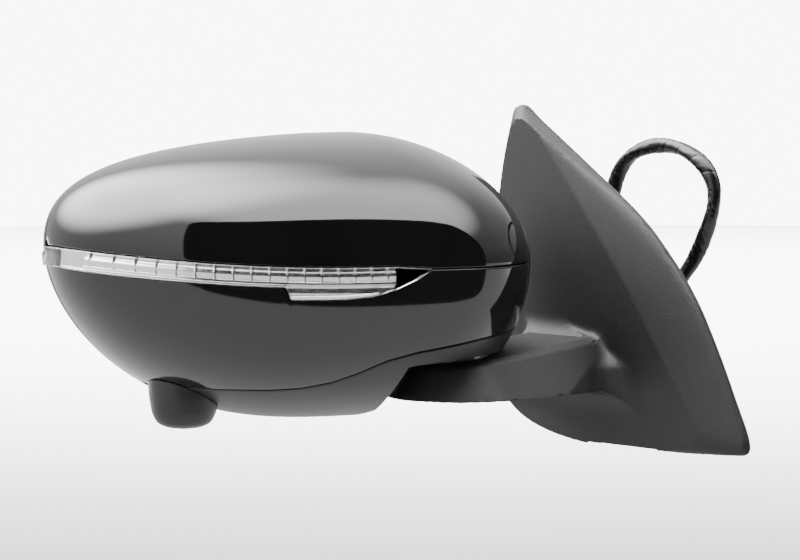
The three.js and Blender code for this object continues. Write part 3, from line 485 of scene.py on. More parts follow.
def skin(l, theta, inset=0.0):
    """Skin points at stations l and angles theta above the waist, moved inwards by inset."""
    l, theta, inset = np.broadcast_arrays(np.asarray(l, float), theta, inset)
    scale = np.where(l > 0, (HEAD_OUTER - inset) / HEAD_OUTER, (HEAD_INNER + inset) / HEAD_INNER)
    station = l * scale
    lift = np.abs(np.sin(theta))
    n = swell(DEPTH, station, inset) * np.maximum(0, np.cos(theta)) ** DEPTH_POWER
    rise = swell(CROWN, station, inset) * lift ** CROWN_POWER
    drop = swell(BELLY, station, inset) * lift
    return np.stack([station, n, waist(station) + np.where(theta >= 0, rise, -drop)], -1)


def crown_angle(l, height):
    return np.arcsin(np.clip(height / np.maximum(swell(CROWN, l, 0), 1e-6), 0, 1) ** (1 / CROWN_POWER))


def belly_angle(l, depth):
    return np.arcsin(np.clip(depth / np.maximum(swell(BELLY, l, 0), 1e-6), 0, 1))


def trim_angle(l):
    return belly_angle(l, waist(l) - np.interp(l, *np.transpose(TRIM_SEAM)))


def stations(start, end, count):
    """Stations that crowd towards both ends, where the skin turns fastest."""
    return start + (end - start) * (1 - np.cos(np.pi * np.linspace(0, 1, count))) / 2


def panel(name, ends, low, high, insets, counts, edge=0.7):
    """A panel of the head's skin with round edges, between two angles that may change along it."""
    nearby = edge * np.array([0, 0.06, 0.2, 0.45, 0.72])
    inner_stations = stations(ends[0] + edge, ends[1] - edge, counts[0])
    l = np.concatenate([ends[0] + nearby, inner_stations, ends[1] - nearby[::-1]])
    bottom, top = np.broadcast_to(low(l), l.shape), np.broadcast_to(high(l), l.shape)
    samples = skin(l[:, None], bottom[:, None] + (top - bottom)[:, None] * np.linspace(0, 1, 30))
    length = np.linalg.norm(np.diff(samples, axis=1), axis=2).sum(1)
    round_at = np.minimum(edge, length / 4)
    share = round_at[:, None] / length[:, None]
    beside = share * nearby[None] / edge
    middle = share + (1 - 2 * share) * np.linspace(0, 1, counts[1])[None]
    beta = np.concatenate([beside, middle, 1 - beside[:, ::-1]], 1)
    theta = bottom[:, None] + (top - bottom)[:, None] * beta
    near = np.minimum(
        np.minimum(beta, 1 - beta) * length[:, None],
        np.minimum(l - ends[0], ends[1] - l)[:, None],
    )
    limit = np.minimum(edge, round_at)[:, None]
    sink = limit - np.sqrt(np.maximum(limit ** 2 - np.maximum(limit - near, 0) ** 2, 0))
    outer = skin(l[:, None], theta, insets[0] + sink)
    inner = skin(l[:, None], theta, insets[1] - sink)
    return closed_sheet(name, from_head(outer), from_head(inner))


def closed_sheet(name, outer, inner):
    """A closed body between two grids of points that match."""
    rows, columns = outer.shape[:2]
    layer = rows * columns
    faces = grid_faces(rows, columns)
    around = np.concatenate([
        np.arange(columns), np.arange(1, rows) * columns + columns - 1,
        (rows - 1) * columns + np.arange(columns - 2, -1, -1), np.arange(rows - 2, 0, -1) * columns,
    ])
    after = np.roll(around, -1)
    walls = np.stack([around, after, after + layer, around + layer], 1)
    faces = np.concatenate([faces, faces[:, ::-1] + layer, walls[:, ::-1]])
    return mesh_object(name, np.concatenate([outer.reshape(-1, 3), inner.reshape(-1, 3)]), faces)


def head_outline(inset, count):
    """The head's widest section in (l, z), counter-clockwise."""
    top = skin(stations(HEAD_OUTER, HEAD_INNER, count)[:-1], math.pi / 2, inset)
    bottom = skin(stations(HEAD_INNER, HEAD_OUTER, count)[:-1], -math.pi / 2, inset)
    return counter_clockwise(np.concatenate([top, bottom])[:, [0, 2]])


def ring_at(outline, n):
    n = np.broadcast_to(n, len(outline))
    return np.stack([outline[:, 0], n, outline[:, 1]], 1)


def head_hull(name, inset, n_back):
    l, theta = np.meshgrid(stations(HEAD_INNER, HEAD_OUTER, 60), np.linspace(-0.5, 0.5, 44) * math.pi)
    points = np.concatenate([skin(l, theta, inset).reshape(-1, 3), ring_at(head_outline(inset, 60), n_back)])
    return hull(name, from_head(points))


def arm_sweep(name, clear):
    """Everything that the arm passes through as the head folds."""
    rest = 180 + math.degrees(HEAD_SWEEP)
    points = []
    for height, radius in ((clear, ARM_TOP_RADIUS + clear), (-90, ARM_TOP_RADIUS + clear + 90 * ARM_SLOPE)):
        points.append(circle(radius, height, 120))
        for angle in np.radians(np.arange(rest - FOLD_FORWARD, rest + FOLD_BACK + 1, 3)):
            direction = np.array([math.cos(angle), math.sin(angle)])
            side = np.array([-direction[1], direction[0]]) * radius
            for sign in (1, -1):
                points.append(np.append(direction * 190 + sign * side, height)[None])
    return hull(name, from_pivot(np.concatenate(points)))


def arm_front(name, clear):
    """The arm's round end at rest, carried forward out of the head, where the skin opens for it."""
    rims = ((clear, ARM_TOP_RADIUS + clear), (-60, ARM_TOP_RADIUS + clear + 60 * ARM_SLOPE))
    points = np.concatenate([from_pivot(circle(radius, height, 120)) for height, radius in rims])
    forward = points + 60 * HEAD_AXES[1]
    return hull(name, np.concatenate([points, forward, forward + 20 * HEAD_AXES[0]]))


# ---------- materials ----------

def node_material(name):
    """A new material with its node tree, its shader and the coordinates of the object it is on."""
    material = bpy.data.materials.new(name)
    material.use_nodes = True
    tree = material.node_tree
    return material, tree, tree.nodes["Principled BSDF"], tree.nodes.new("ShaderNodeTexCoord")


def set_inputs(node, **values):
    for name, value in values.items():
        node.inputs[name.replace("_", " ")].default_value = value


def noise(tree, place, scale, detail=3.0, roughness=0.5):
    node = tree.nodes.new("ShaderNodeTexNoise")
    set_inputs(node, Scale=scale, Detail=detail, Roughness=roughness)
    tree.links.new(place.outputs["Object"], node.inputs["Vector"])
    return node.outputs["Fac"]


def grain_cells(tree, place, scale):
    node = tree.nodes.new("ShaderNodeTexVoronoi")
    node.inputs["Scale"].default_value = scale
    tree.links.new(place.outputs["Object"], node.inputs["Vector"])
    return node.outputs["Distance"]


def set_roughness(tree, shader, value, low, high):
    node = tree.nodes.new("ShaderNodeMapRange")
    set_inputs(node, From_Min=0.3, From_Max=0.7, To_Min=low, To_Max=high)
    tree.links.new(value, node.inputs["Value"])
    tree.links.new(node.outputs["Result"], shader.inputs["Roughness"])


def set_colour(tree, shader, value, dark, light):
    node = tree.nodes.new("ShaderNodeValToRGB")
    for stop, position, colour in zip(node.color_ramp.elements, (0.35, 0.65), (dark, light)):
        stop.position = position
        stop.color = (*colour, 1)
    tree.links.new(value, node.inputs["Fac"])
    tree.links.new(node.outputs["Color"], shader.inputs["Base Color"])


def set_bumps(tree, shader, *layers):
    """Bumps on top of each other; a layer is a height, its depth in metres and its strength."""
    normal = None
    for height, depth, strength in layers:
        node = tree.nodes.new("ShaderNodeBump")
        set_inputs(node, Distance=depth, Strength=strength)
        tree.links.new(height, node.inputs["Height"])
        if normal is not None:
            tree.links.new(normal, node.inputs["Normal"])
        normal = node.outputs["Normal"]
    tree.links.new(normal, shader.inputs["Normal"])


def moulded(name, dark, light, rough, grain, depth):
    """Moulded plastic: soft patches of tone and gloss over a fine grain of the given size in metres."""
    material, tree, shader, place = node_material(name)
    set_colour(tree, shader, noise(tree, place, 28, 4), dark, light)
    fine = noise(tree, place, 1 / grain, 2, 0.6)
    cells = grain_cells(tree, place, 0.8 / grain)
    set_roughness(tree, shader, fine, *rough)
    set_bumps(tree, shader, (fine, depth, 0.6), (cells, depth * 0.7, 0.5))
    return material


def painted(name, dark, light, rough):
    """Clear-coated paint with a trace of orange peel and faint haze."""
    material, tree, shader, place = node_material(name)
    set_colour(tree, shader, noise(tree, place, 16, 3), dark, light)
    set_roughness(tree, shader, noise(tree, place, 240, 5, 0.65), *rough)
    set_bumps(tree, shader, (noise(tree, place, 190, 1), 0.00003, 0.25))
    set_inputs(shader, Coat_Weight=0.35, Coat_Roughness=0.03, Coat_IOR=1.5)
    return material


def metal(name, dark, light, rough, grain_scale, depth):
    material, tree, shader, place = node_material(name)
    shader.inputs["Metallic"].default_value = 1.0
    set_colour(tree, shader, noise(tree, place, 60, 4), dark, light)
    fine = noise(tree, place, grain_scale, 3, 0.6)
    set_roughness(tree, shader, fine, *rough)
    set_bumps(tree, shader, (fine, depth, 0.5))
    return material


def clear(name, tint, rough, ior):
    """Clear plastic or glass with a faint haze and the slightest wave."""
    material, tree, shader, place = node_material(name)
    set_roughness(tree, shader, noise(tree, place, 300, 3), *rough)
    shader.inputs["Base Color"].default_value = (*tint, 1)
    set_inputs(shader, IOR=ior, Transmission_Weight=1.0)
    set_bumps(tree, shader, (noise(tree, place, 120, 1), 0.00002, 0.3))
    return material


def taped(name, dark, light, rough):
    """Glossy tape wound on a harness: soft creases across a thin film."""
    material, tree, shader, place = node_material(name)
    set_colour(tree, shader, noise(tree, place, 90, 4), dark, light)
    set_roughness(tree, shader, noise(tree, place, 260, 3, 0.7), *rough)
    set_bumps(tree, shader, (noise(tree, place, 110, 2), 0.0003, 0.3))
    return material


FINISHES = {
    "gloss_black": (painted, (0.004, 0.004, 0.0045), (0.006, 0.006, 0.0065), (0.03, 0.07)),
    "gloss_grey": (painted, (0.005, 0.005, 0.006), (0.007, 0.007, 0.008), (0.05, 0.11)),
    "satin_black": (moulded, (0.007, 0.007, 0.008), (0.011, 0.011, 0.012), (0.36, 0.5), 0.0006, 0.00003),
    "grained_black": (moulded, (0.006, 0.006, 0.007), (0.010, 0.010, 0.0115), (0.48, 0.66), 0.0007, 0.00009),
    "black_nylon": (moulded, (0.008, 0.008, 0.009), (0.018, 0.018, 0.019), (0.42, 0.62), 0.0012, 0.00006),
    "white_acetal": (moulded, (0.62, 0.61, 0.56), (0.75, 0.74, 0.69), (0.34, 0.46), 0.0016, 0.00003),
    "black_rubber": (moulded, (0.005, 0.005, 0.005), (0.010, 0.010, 0.010), (0.6, 0.8), 0.0009, 0.00006),
    "black_vinyl": (taped, (0.003, 0.003, 0.003), (0.010, 0.010, 0.011), (0.20, 0.30)),
    "cast_metal": (metal, (0.24, 0.25, 0.26), (0.36, 0.37, 0.38), (0.42, 0.6), 420, 0.00025),
    "steel": (metal, (0.42, 0.43, 0.45), (0.56, 0.57, 0.58), (0.22, 0.38), 1200, 0.00002),
    "chrome": (metal, (0.86, 0.87, 0.88), (0.93, 0.94, 0.95), (0.16, 0.26), 500, 0.00001),
    "clear_lens": (clear, (0.985, 0.99, 0.99), (0.0, 0.03), 1.49),
    "mirror": (metal, (0.80, 0.83, 0.86), (0.84, 0.87, 0.90), (0.0, 0.02), 260, 0.000001),
    "heater_foil": (moulded, (0.05, 0.035, 0.025), (0.09, 0.06, 0.04), (0.35, 0.6), 0.0008, 0.00005),
    "board_green": (moulded, (0.012, 0.07, 0.035), (0.02, 0.10, 0.05), (0.3, 0.42), 0.0010, 0.00002),
    "camera_glass": (clear, (0.55, 0.6, 0.75), (0.0, 0.02), 1.6),
}
MATERIALS = {name: make(name, *row) for name, (make, *row) in FINISHES.items()}


def dress(obj, slot, body, *nodes, angle=35):
    """Gives a new piece its finish and its place on a body, and the frame nodes that it stands for."""
    obj.data.materials.clear()
    obj.data.materials.append(MATERIALS[slot])
    smooth(obj, angle)
    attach(obj, body)
    if nodes:
        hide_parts(*nodes)
    return obj


# ---------- harness ----------

def frames_along(path):
    """Two normals at each point of a path, with no twist."""
    tangent = np.gradient(path, axis=0)
    tangent /= np.linalg.norm(tangent, axis=1)[:, None]
    side = np.empty_like(path)
    side[0] = np.cross(tangent[0], (0, 0, 1))
    side[0] /= np.linalg.norm(side[0])
    for i in range(1, len(path)):
        along = side[i - 1] - tangent[i] * (side[i - 1] @ tangent[i])
        side[i] = along / np.linalg.norm(along)
    return side, np.cross(tangent, side)


def make_sleeve():
    rings, around = 640, 40
    path = through(HARNESS, False, rings)
    side, other = frames_along(path)
    run = np.linspace(0, 1, rings)[:, None]
    angle = np.linspace(0, 2 * math.pi, around, endpoint=False)[None]
    length = np.linalg.norm(np.diff(path, axis=0), axis=1).sum()
    lap = (run * length / 11 + angle / (2 * math.pi)) % 1
    step = 0.28 * (1 - np.exp(-lap * 16))
    flat = 0.34 * np.cos(2 * (angle - 5.2 * run * math.pi))
    wrinkle = 0.13 * np.sin(angle * 3 + run * 190 + 2.2 * np.sin(run * 61)) * np.sin(run * 47 + angle) ** 2
    radius = SLEEVE_RADIUS - 0.25 + step + flat + wrinkle
    points = (path[:, None] + radius[..., None] * (np.cos(angle)[..., None] * side[:, None]
              + np.sin(angle)[..., None] * other[:, None]))
    sleeve = dress(lofted("harness_wrap", points), "black_vinyl", "base", "harness_sleeve")
    make_connector()


def make_connector():
    x, y, z = HARNESS[-1]
    start = y + 0.3

    def box(name, across, along, up, radius):
        spans = (across, along, up)
        low, high = (np.array(HARNESS[-1]) + (0, 0.3, 0) + [span[k] for span in spans] for k in (0, 1))
        return rounded_box(name, low, high, radius)

    body = box("connector_housing", (-9.5, 9.5), (3, 31), (-7.5, 7.5), 1.2)
    neck = rounded_profile([(0, 0), (5.9, 0), (6.5, 1.5), (6.5, 5), (0, 5)], 0.8)
    join(body, turned("neck", neck, (x, start, z), (0, 1, 0)))
    join(body, box("latch", (-3, 3), (8, 28), (6.5, 9.4), 0.6))
    for side in ((-9.5, -9.1), (9.1, 9.5)):
        for lift in (-4, 0, 4):
            cut(body, box("rib", side, (6, 28), (lift - 0.7, lift + 0.7), 0.15))
    cut(body, box("cavity", (-7, 7), (12, 40), (-5, 5), 0.8))
    for column in (-4.2, 0, 4.2):
        for row in (-2.2, 2.2):
            join(body, box("pin", (column - 0.6, column + 0.6), (11, 20), (row - 0.6, row + 0.6), 0.2))
    return dress(body, "black_nylon", "base", "harness_connector")


make_sleeve()


# ---------- head shells ----------

def along_strip(table, l):
    return np.interp(l, *np.transpose(table))


def cap_low(l):
    height = np.where(l < STRIP_INNER_END - 0.3, 0.3, along_strip(STRIP_RISE, l) + 0.3)
    return np.minimum(EDGE - math.radians(4), crown_angle(l, height))


def cover_high(l):
    depth = np.where(l < STRIP_INNER_END - 0.3, 0.3, along_strip(STRIP_DROP, l) + 0.3)
    return -np.minimum(EDGE - math.radians(6), belly_angle(l, depth))


def make_cap():
    ends = (CAP_INNER_END, CAP_OUTER_END)
    cap = panel("cap_shell", ends, cap_low, lambda l: EDGE, (0, SHELL), (150, 70))
    cut(cap, arm_sweep("sweep", 1))
    dress(cap, "gloss_black", "head", "upper_cap")


def make_lower_cover():
    ends = (CAP_INNER_END, CAP_OUTER_END)
    low = lambda l: -np.minimum(EDGE, trim_angle(l))
    cover = panel("lower_shell", ends, low, cover_high, (0, SHELL), (240, 60), edge=0.6)
    cut(cover, arm_sweep("sweep", 1), arm_front("front", 1.6))
    dress(cover, "gloss_grey", "head", "lower_cover")


def make_bottom_trim():
    top = lambda l: -np.minimum(EDGE - math.radians(2), trim_angle(l) + math.radians(0.6))
    ends = (CAP_INNER_END + 0.4, TRIM_OUTER_END)
    trim = panel("belly_trim", ends, lambda l: -EDGE, top, (0, SHELL), (120, 30))
    cut(trim, arm_sweep("sweep", 1), arm_front("front", 1.3), plug(12, -90, 0, from_head((*POD_CENTRE, 0))))
    dress(trim, "satin_black", "head", "bottom_trim")


def glass_outline(offset, count=220):
    return offset_outline(counter_clockwise(through(GLASS_CORNERS, True, count)), offset)


def bearings(outline):
    reach = outline - GLASS_MIDDLE
    return np.arctan2(reach[:, 1], reach[:, 0])


def by_angle(outline, angles):
    """An outline's points where rays at the given angles from the glass's middle meet it."""
    bearing = bearings(outline)
    order = np.argsort(bearing)
    bearing, radius = bearing[order], np.hypot(*(outline - GLASS_MIDDLE).T)[order]
    wrapped = np.concatenate([bearing - 2 * math.pi, bearing, bearing + 2 * math.pi])
    radius = np.interp(angles, wrapped, np.tile(radius, 3))
    return GLASS_MIDDLE + radius[:, None] * np.stack([np.cos(angles), np.sin(angles)], 1)


def make_rear_housing():
    """The bezel with its return behind the glass, the tongue inside the cap and the head's inner end."""
    angles = np.unwrap(bearings(head_outline(0, 120)))
    head = lambda inset: by_angle(head_outline(inset, 240), angles)
    glass = lambda offset: by_angle(glass_outline(offset, 400), angles)
    between = lambda inset, offset, share: (1 - share) * head(inset) + share * glass(offset)
    rows = [
        (head(0.15), -0.3), (head(0), -0.8), (head(0.2), -3), (head(0.6), -5.5), (head(1.3), -8),
        (head(2.4), -10.6), (head(4), -12.9), (head(6.2), -14.6), (head(8.6), -15.6), (head(11), -15.95),
        (between(11, 7, 0.5), -15.7), (glass(6.2), -15.3), (glass(4.6), -15.1), (glass(3.8), -14.8),
        (glass(3.45), -14.2), (glass(3.45), -12.9), (glass(4.0), -12.4), (between(9, 6, 0.5), -12.6),
        (head(7.6), -12.2), (head(5.4), -10.5), (head(4.6), -8), (head(4.1), -3), (head(4.0), -0.5),
        (head(3.8), -0.3),
    ]
    rings = np.array([ring_at(outline, n) for outline, n in rows])
    housing = lofted("mirror_bezel", from_head(rings), closed=True)
    section = ((3.5, -6), (3.5, 5.6), (3.8, 6), (4.8, 6), (5.1, 5.6), (5.1, -6))
    tongue = np.array([ring_at(head(inset), n) for inset, n in section])
    ends = (HEAD_INNER + 0.2, CAP_INNER_END - 0.5)
    flank = panel("flank", ends, lambda l: -EDGE, lambda l: EDGE, (-0.8, 4.2), (24, 120), edge=0.8)
    join(housing, lofted("tongue", from_head(tongue), closed=True), flank)
    cut(housing, arm_sweep("sweep", 1))
    dress(housing, "satin_black", "head", "rear_housing", angle=40)


def make_pivot_cover():
    cover = arm_sweep("pivot_shroud", 3.4)
    cut(cover, arm_sweep("sweep", 1.0))
    boolean(cover, head_hull("inside", 6.8, -8.5), "INTERSECT")
    cut(cover, arm_front("front", 1.3), plug(21, -5, 12, place=from_pivot))
    dress(cover, "satin_black", "head", "pivot_cover")


def make_pod():
    outer = [(9.4, -60.4), (14.0, -58.4), (16.8, -53.5), (18.3, -45), (19.4, -30)]
    inner = [(15, -30), (15, -45), (13.8, -52), (11.8, -55.8), (6.6, -57.5)]
    profile = rounded_profile([(6.6, -60.2), (7.1, -60.6), *outer, *inner, (6.6, -60.2)], 2.6, steps=5)
    base = from_head((*POD_CENTRE, 0))
    pod = turned("camera_cowl", profile, base, (0, 0, 1), 96)
    cut(pod, head_hull("head", -0.45, -20))
    dress(pod, "satin_black", "head", "camera_pod", angle=50)
    lens = [(0, -1.6), (2.0, -1.5), (3.8, -1.1), (5.2, -0.3), (6, 0.9), (6, 6), (0, 6)]
    lens = turned("camera_dome", rounded_profile(lens, 0.5), base + np.array([0, 0, -60]), (0, 0, 1), 64)
    dress(lens, "camera_glass", "head", "camera_lens", angle=50)
    barrel = [
        (0, -53.4), (4.2, -53.4), (4.6, -51.6), (8.6, -51.6), (9.0, -53.2), (10.5, -53.2), (10.5, -49),
        (9.6, -48.4), (9.6, -46), (10.5, -45.4), (10.5, -41), (0, -41),
    ]
    barrel = turned("camera_barrel", rounded_profile(barrel, 0.35, 2), base, (0, 0, 1), 64)
    dress(barrel, "black_nylon", "head", "camera_body")


# ---------- indicator strip ----------

def strip_panel(name, ends, trim, insets, counts, edge):
    high = lambda l: crown_angle(l, np.maximum(along_strip(STRIP_RISE, l) - trim, 0.1))
    low = lambda l: -belly_angle(l, np.maximum(along_strip(STRIP_DROP, l) - trim, 0.1))
    return panel(name, ends, low, high, insets, counts, edge)


def make_strip():
    ends = (STRIP_INNER_END, HEAD_OUTER - 0.05)
    lens = strip_panel("indicator_cover", ends, 0.2, (-STRIP_PROUD, 0.2), (260, 16), 0.9)
    dress(lens, "clear_lens", "head", "indicator_lens")
    make_reflector()
    board = strip_panel("indicator_circuit", (-8, 122), 1.0, (2.8, 4.2), (60, 6), 0.2)
    dress(board, "board_green", "head", "indicator_board")
    case = strip_panel("indicator_back", (-14, 126), 0.6, (4.6, 6.8), (60, 8), 0.4)
    dress(case, "black_nylon", "head", "indicator_housing")


def make_reflector():
    """Chromed cells behind the lens, roof-shaped in section, over a plain polished blade at the inner end."""
    l = np.linspace(-12.5, 134.6, 900)[:, None]
    trim = 0.6
    rise, drop = along_strip(STRIP_RISE, l) - trim, along_strip(STRIP_DROP, l) - trim
    below = -rise + (rise + drop) * np.linspace(0, 1, 72)[None]
    above = crown_angle(l, np.maximum(-below, 0))
    theta = np.where(below < 0, above, -belly_angle(l, np.maximum(below, 0)))
    roof = [
        (-1.2, 0.7), (-0.9, 0.75), (-0.6, 2.3), (2.2, 0.75), (2.9, 0.6), (5.6, 1.35), (5.9, 0.75),
        (6.5, 0.6), (7.2, 0.7), (7.8, 1.2), (9.0, 1.75), (10.6, 0.8), (11.2, 0.7), (14.4, 1.5),
    ]
    plain = [(-1.2, 0.8), (14.4, 0.9)]
    phase = (l / STRIP_CELL) % 1
    rib = np.exp(-((np.minimum(phase, 1 - phase) * STRIP_CELL) / 0.38) ** 2)
    in_cells = (below > -0.9) & (below < 5.9) & (l < CELLS_END)
    shaped = along_strip(roof, below)
    inset = np.where(in_cells, shaped * (1 - rib) + 0.55 * rib, shaped)
    outer_end = np.clip((l - CELLS_END) / 1.5, 0, 1)
    inset = inset * (1 - outer_end) + along_strip(plain, below) * outer_end
    outer, inner = skin(l, theta, inset), skin(l, theta, 2.55)
    reflector = closed_sheet("indicator_scoops", from_head(outer), from_head(inner))
    dress(reflector, "chrome", "head", "indicator_reflector", angle=50)


# ---------- sail and arm ----------

def sail_points(reach_back, inset=0.0):
    """The sail's form, carried back to x = reach_back."""
    edge = offset_outline(counter_clockwise(through(SAIL_EDGE, True, 150)), -inset)
    crest = offset_outline(counter_clockwise(through(SAIL_CREST, True, 90)), -inset)
    at_x = lambda outline, x: np.column_stack([np.full(len(outline), x), outline])
    return np.concatenate([
        at_x(edge, reach_back), at_x(edge, inset - 3.6), at_x(offset_outline(edge, -0.5), inset - 4.6),
        at_x(offset_outline(edge, -1.6), inset - 5.2), at_x(crest, inset + SAIL_FACE),
    ])


def arm_points(inset, sail_end):
    """The arm's form, from its round boss at the pivot to its root at x = sail_end."""
    deep = 40
    boss = [
        (ARM_TOP_RADIUS - 4, -inset), (ARM_TOP_RADIUS - 0.8, -1.8 - inset / 2),
        (ARM_TOP_RADIUS + ARM_SLOPE * deep, -deep),
    ]
    points = [from_pivot(circle(radius - inset, height, 90)) for radius, height in boss]
    root_top = PIVOT[2] - math.tan(PIVOT_LEAN) * (PIVOT[0] - sail_end) - inset
    top_half = ARM_TOP_RADIUS - 1 - inset
    rows = [
        (top_half - 5, root_top), (top_half, root_top - 3),
        (top_half + ARM_ROOT_SLOPE * deep, root_top - 3 - deep),
    ]
    for half, z in rows:
        points.append([(sail_end, PIVOT[1] - half, z), (sail_end, PIVOT[1] + half, z)])
    return np.concatenate(points)


def fairing_points():
    """A wedge that carries the arm's top up to the sail."""
    top = PIVOT[2] + math.tan(PIVOT_LEAN) * (FAIRING_START - PIVOT[0]) - 1
    front, rear = PIVOT[1] - (ARM_TOP_RADIUS - 2), PIVOT[1] + (ARM_TOP_RADIUS - 2)
    return np.array([
        (FAIRING_START, front, top), (FAIRING_START, rear, top), (FAIRING_END, front, -21),
        (FAIRING_END, rear, -9), (FAIRING_END, front, -30), (FAIRING_END, rear, -30),
    ])


def sail_field():
    """The sail, the arm and the fairing between them, with a wide fillet low down and a small one above."""
    sail = convex_field(sail_points(6.0))
    arm = convex_field(arm_points(0, FAIRING_END))
    fairing = convex_field(fairing_points())

    def field(p):
        x, _, z = p.T
        arm_here = np.maximum(arm(p), ARM_FLOOR - z)
        drop = np.clip((-24 - z) / 12, 0, 1)
        reach = 5.0 + 12.0 * drop * drop * (3 - 2 * drop)
        outside = blend_union(sail(p), np.minimum(arm_here, fairing(p)), reach)
        return np.maximum(outside, x - SAIL_RIM)

    return field


def make_sail():
    """A moulded shell, hollow behind the sail and up the arm, whose underside is open for its own cover."""
    low, high = (-140, -115, -78), (-1.5, 62, 109)
    step = SAIL_STEP
    sail = surface_net("sail_shell", sail_field(), low, high, step)
    hollow = hull("arm_hollow", arm_points(SAIL_WALL, 6))
    cut(hollow, rounded_box("arm_floor", (-16.2, -120, -120), (40, 120, ARM_FLOOR + SAIL_WALL), 0.5))
    behind = hull("sail_hollow", sail_points(16.0, SAIL_WALL))
    cut(sail, behind, hollow, plug(9.5, -12, 8, place=from_pivot))
    dress(sail, "grained_black", "base", "sail_cover", angle=30)


def make_gasket():
    """A rubber edge between the sail and the door, with a thin lip standing proud of it."""
    edge = counter_clockwise(through(SAIL_EDGE, True, 260))
    corners = [
        (-5.8, -2.7), (-5.8, 0), (-4.4, 0), (-3.6, -0.5), (-2.8, 0), (0, 0), (0.25, -0.9), (0.0, -1.6),
        (-0.5, -2.0), (-0.3, -2.7),
    ]
    section = rounded_profile(corners, 0.25, 2, closed=True)
    rings = np.stack([
        np.column_stack([np.full(len(edge), x), offset_outline(edge, out)]) for out, x in section
    ])
    gasket = lofted("sail_seal", rings, closed=True)
    dress(gasket, "black_rubber", "base", "sail_gasket", angle=50)


# ---------- door side ----------

def make_studs():
    """Threaded studs, each with a round head sunk in the bracket."""
    sides = 32
    angle = np.linspace(0, 2 * math.pi, sides, endpoint=False)
    for number, (y, z) in enumerate(STUDS, 1):
        rings = []
        for x in np.concatenate([[-6.1, -6.0], np.linspace(-5.8, -3.8, 4), [-3.65, -3.6]]):
            past_flat = max(0, abs(x + 4.85) - 1.05)
            rings.append((x, np.full(sides, 5.9 - 0.4 * (past_flat / 0.2) ** 0.5)))
        for x in np.linspace(-3.5, 19.6, 300):
            turn = (x / THREAD_PITCH - angle / (2 * math.pi)) % 1
            thread = 0.32 * np.abs(2 * turn - 1)
            tip = max(0, (x - 18.0) / 1.6) * 0.6
            rings.append((x, 3.0 - np.where(x > -1.5, thread, 0) - tip))
        points = [
            np.column_stack([np.full(sides, x), y + r * np.cos(angle), z + r * np.sin(angle)]) for x, r in rings
        ]
        dress(lofted(f"door_stud_{number}", points), "steel", "base", f"mount_stud_{number}")


def make_grommet():
    bore = SLEEVE_RADIUS + 0.4
    profile = [
        (bore, 0), (10.6, 0), (10.6, 1.6), (8.6, 2.2), (8.6, 5.0), (7.4, 5.6), (8.4, 6.4), (7.2, 7.4),
        (8.1, 8.2), (6.9, 9.2), (7.7, 10.0), (6.4, 11.0), (6.9, 12.5), (bore, 12.5), (bore, 0),
    ]
    grommet = turned("wire_grommet", rounded_profile(profile, 0.4, 3), GROMMET, (1, 0, 0), 64)
    dress(grommet, "black_rubber", "base", "harness_grommet")


# ---------- glass ----------

def make_glass():
    """Slightly convex mirror glass with a ground edge."""
    outline = glass_outline(0, 260)
    middle = outline.mean(0)
    back = GLASS_FACE + GLASS_THICKNESS
    edge = [(-0.2, 0.0), (0.0, 0.25), (0.0, 1.5), (-0.35, 1.9)]
    rings = [ring_at(offset_outline(outline, grow), back - depth) for grow, depth in edge]
    for share in np.linspace(0.97, 0.02, 26):
        bulge = 1.1 * (1 - share ** 2)
        ring = middle + (offset_outline(outline, -0.35) - middle) * share
        rings.append(ring_at(ring, GLASS_FACE + 0.1 - bulge))
    glass = lofted("mirror_pane", from_head(np.array(rings)))
    dress(glass, "mirror", "glass", "mirror_glass", angle=30)


# ---------- frame nodes that keep their shape ----------

# For each finish, the nodes that get it and how far their edges are broken, in millimetres.
KEPT = {
    "cast_metal": (["base_bracket", "fold_case_lower"], 0.5),
    "grained_black": (["arm_lower_cover"], 0.5),
    "black_nylon": (
        ["head_frame", "actuator_case_front", "actuator_case_rear", "fold_case_upper", "glass_holder"], 0.25,
    ),
    "heater_foil": (["heater_pad"], 0.1),
    "white_acetal": (["pitch_plunger", "yaw_plunger", "pitch_gear", "yaw_gear", "gimbal_ring"], 0.2),
    "steel": (
        ["pivot_shaft", "detent_ring", "fold_wheel", "shaft_clip", "pitch_motor", "yaw_motor", "pitch_worm",
         "yaw_worm", "fold_motor", "fold_worm", "fold_spring", "spring_cup", "clutch_ring"]
        + [f"{kind}_screw_{i}" for kind in ("case", "fold") for i in (1, 2, 3)], 0.15,
    ),
}


def keep_frame_nodes():
    for slot, (names, width) in KEPT.items():
        for name in names:
            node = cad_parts[name]
            node.data.materials.clear()
            node.data.materials.append(MATERIALS[slot])
            bevel(node, width, 2, 30)
            smooth(node, 30)


# ---------- studio ----------

def matt_sheet(name, points, finish, scale, dark, light):
    sheet = mesh_object(name, points, [range(len(points))])
    material, tree, shader, place = node_material(finish)
    set_colour(tree, shader, noise(tree, place, scale, 3), [dark] * 3, [light] * 3)
    set_inputs(shader, Roughness=1.0, Specular_IOR_Level=0.0)
    sheet.data.materials.append(material)
    return sheet


def make_floor():
    floor = matt_sheet("studio_floor", circle(FLOOR_RADIUS, FLOOR_Z, 128), "pale_floor", 3, 0.84, 0.87)


def area_light(name, place, aim, size, power, spread):
    data = bpy.data.lights.new(name, "AREA")
    data.shape = "RECTANGLE"
    data.size, data.size_y = size
    data.energy = power
    data.spread = math.radians(spread)
    light = add_object(name, data)
    look_at(light, place, aim)
    light.visible_camera = False


def combined(nodes, links, operation, first, second):
    node = nodes.new("ShaderNodeMath")
    node.operation = operation
    links.new(first, node.inputs[0])
    links.new(second, node.inputs[1])
    return node.outputs["Value"]


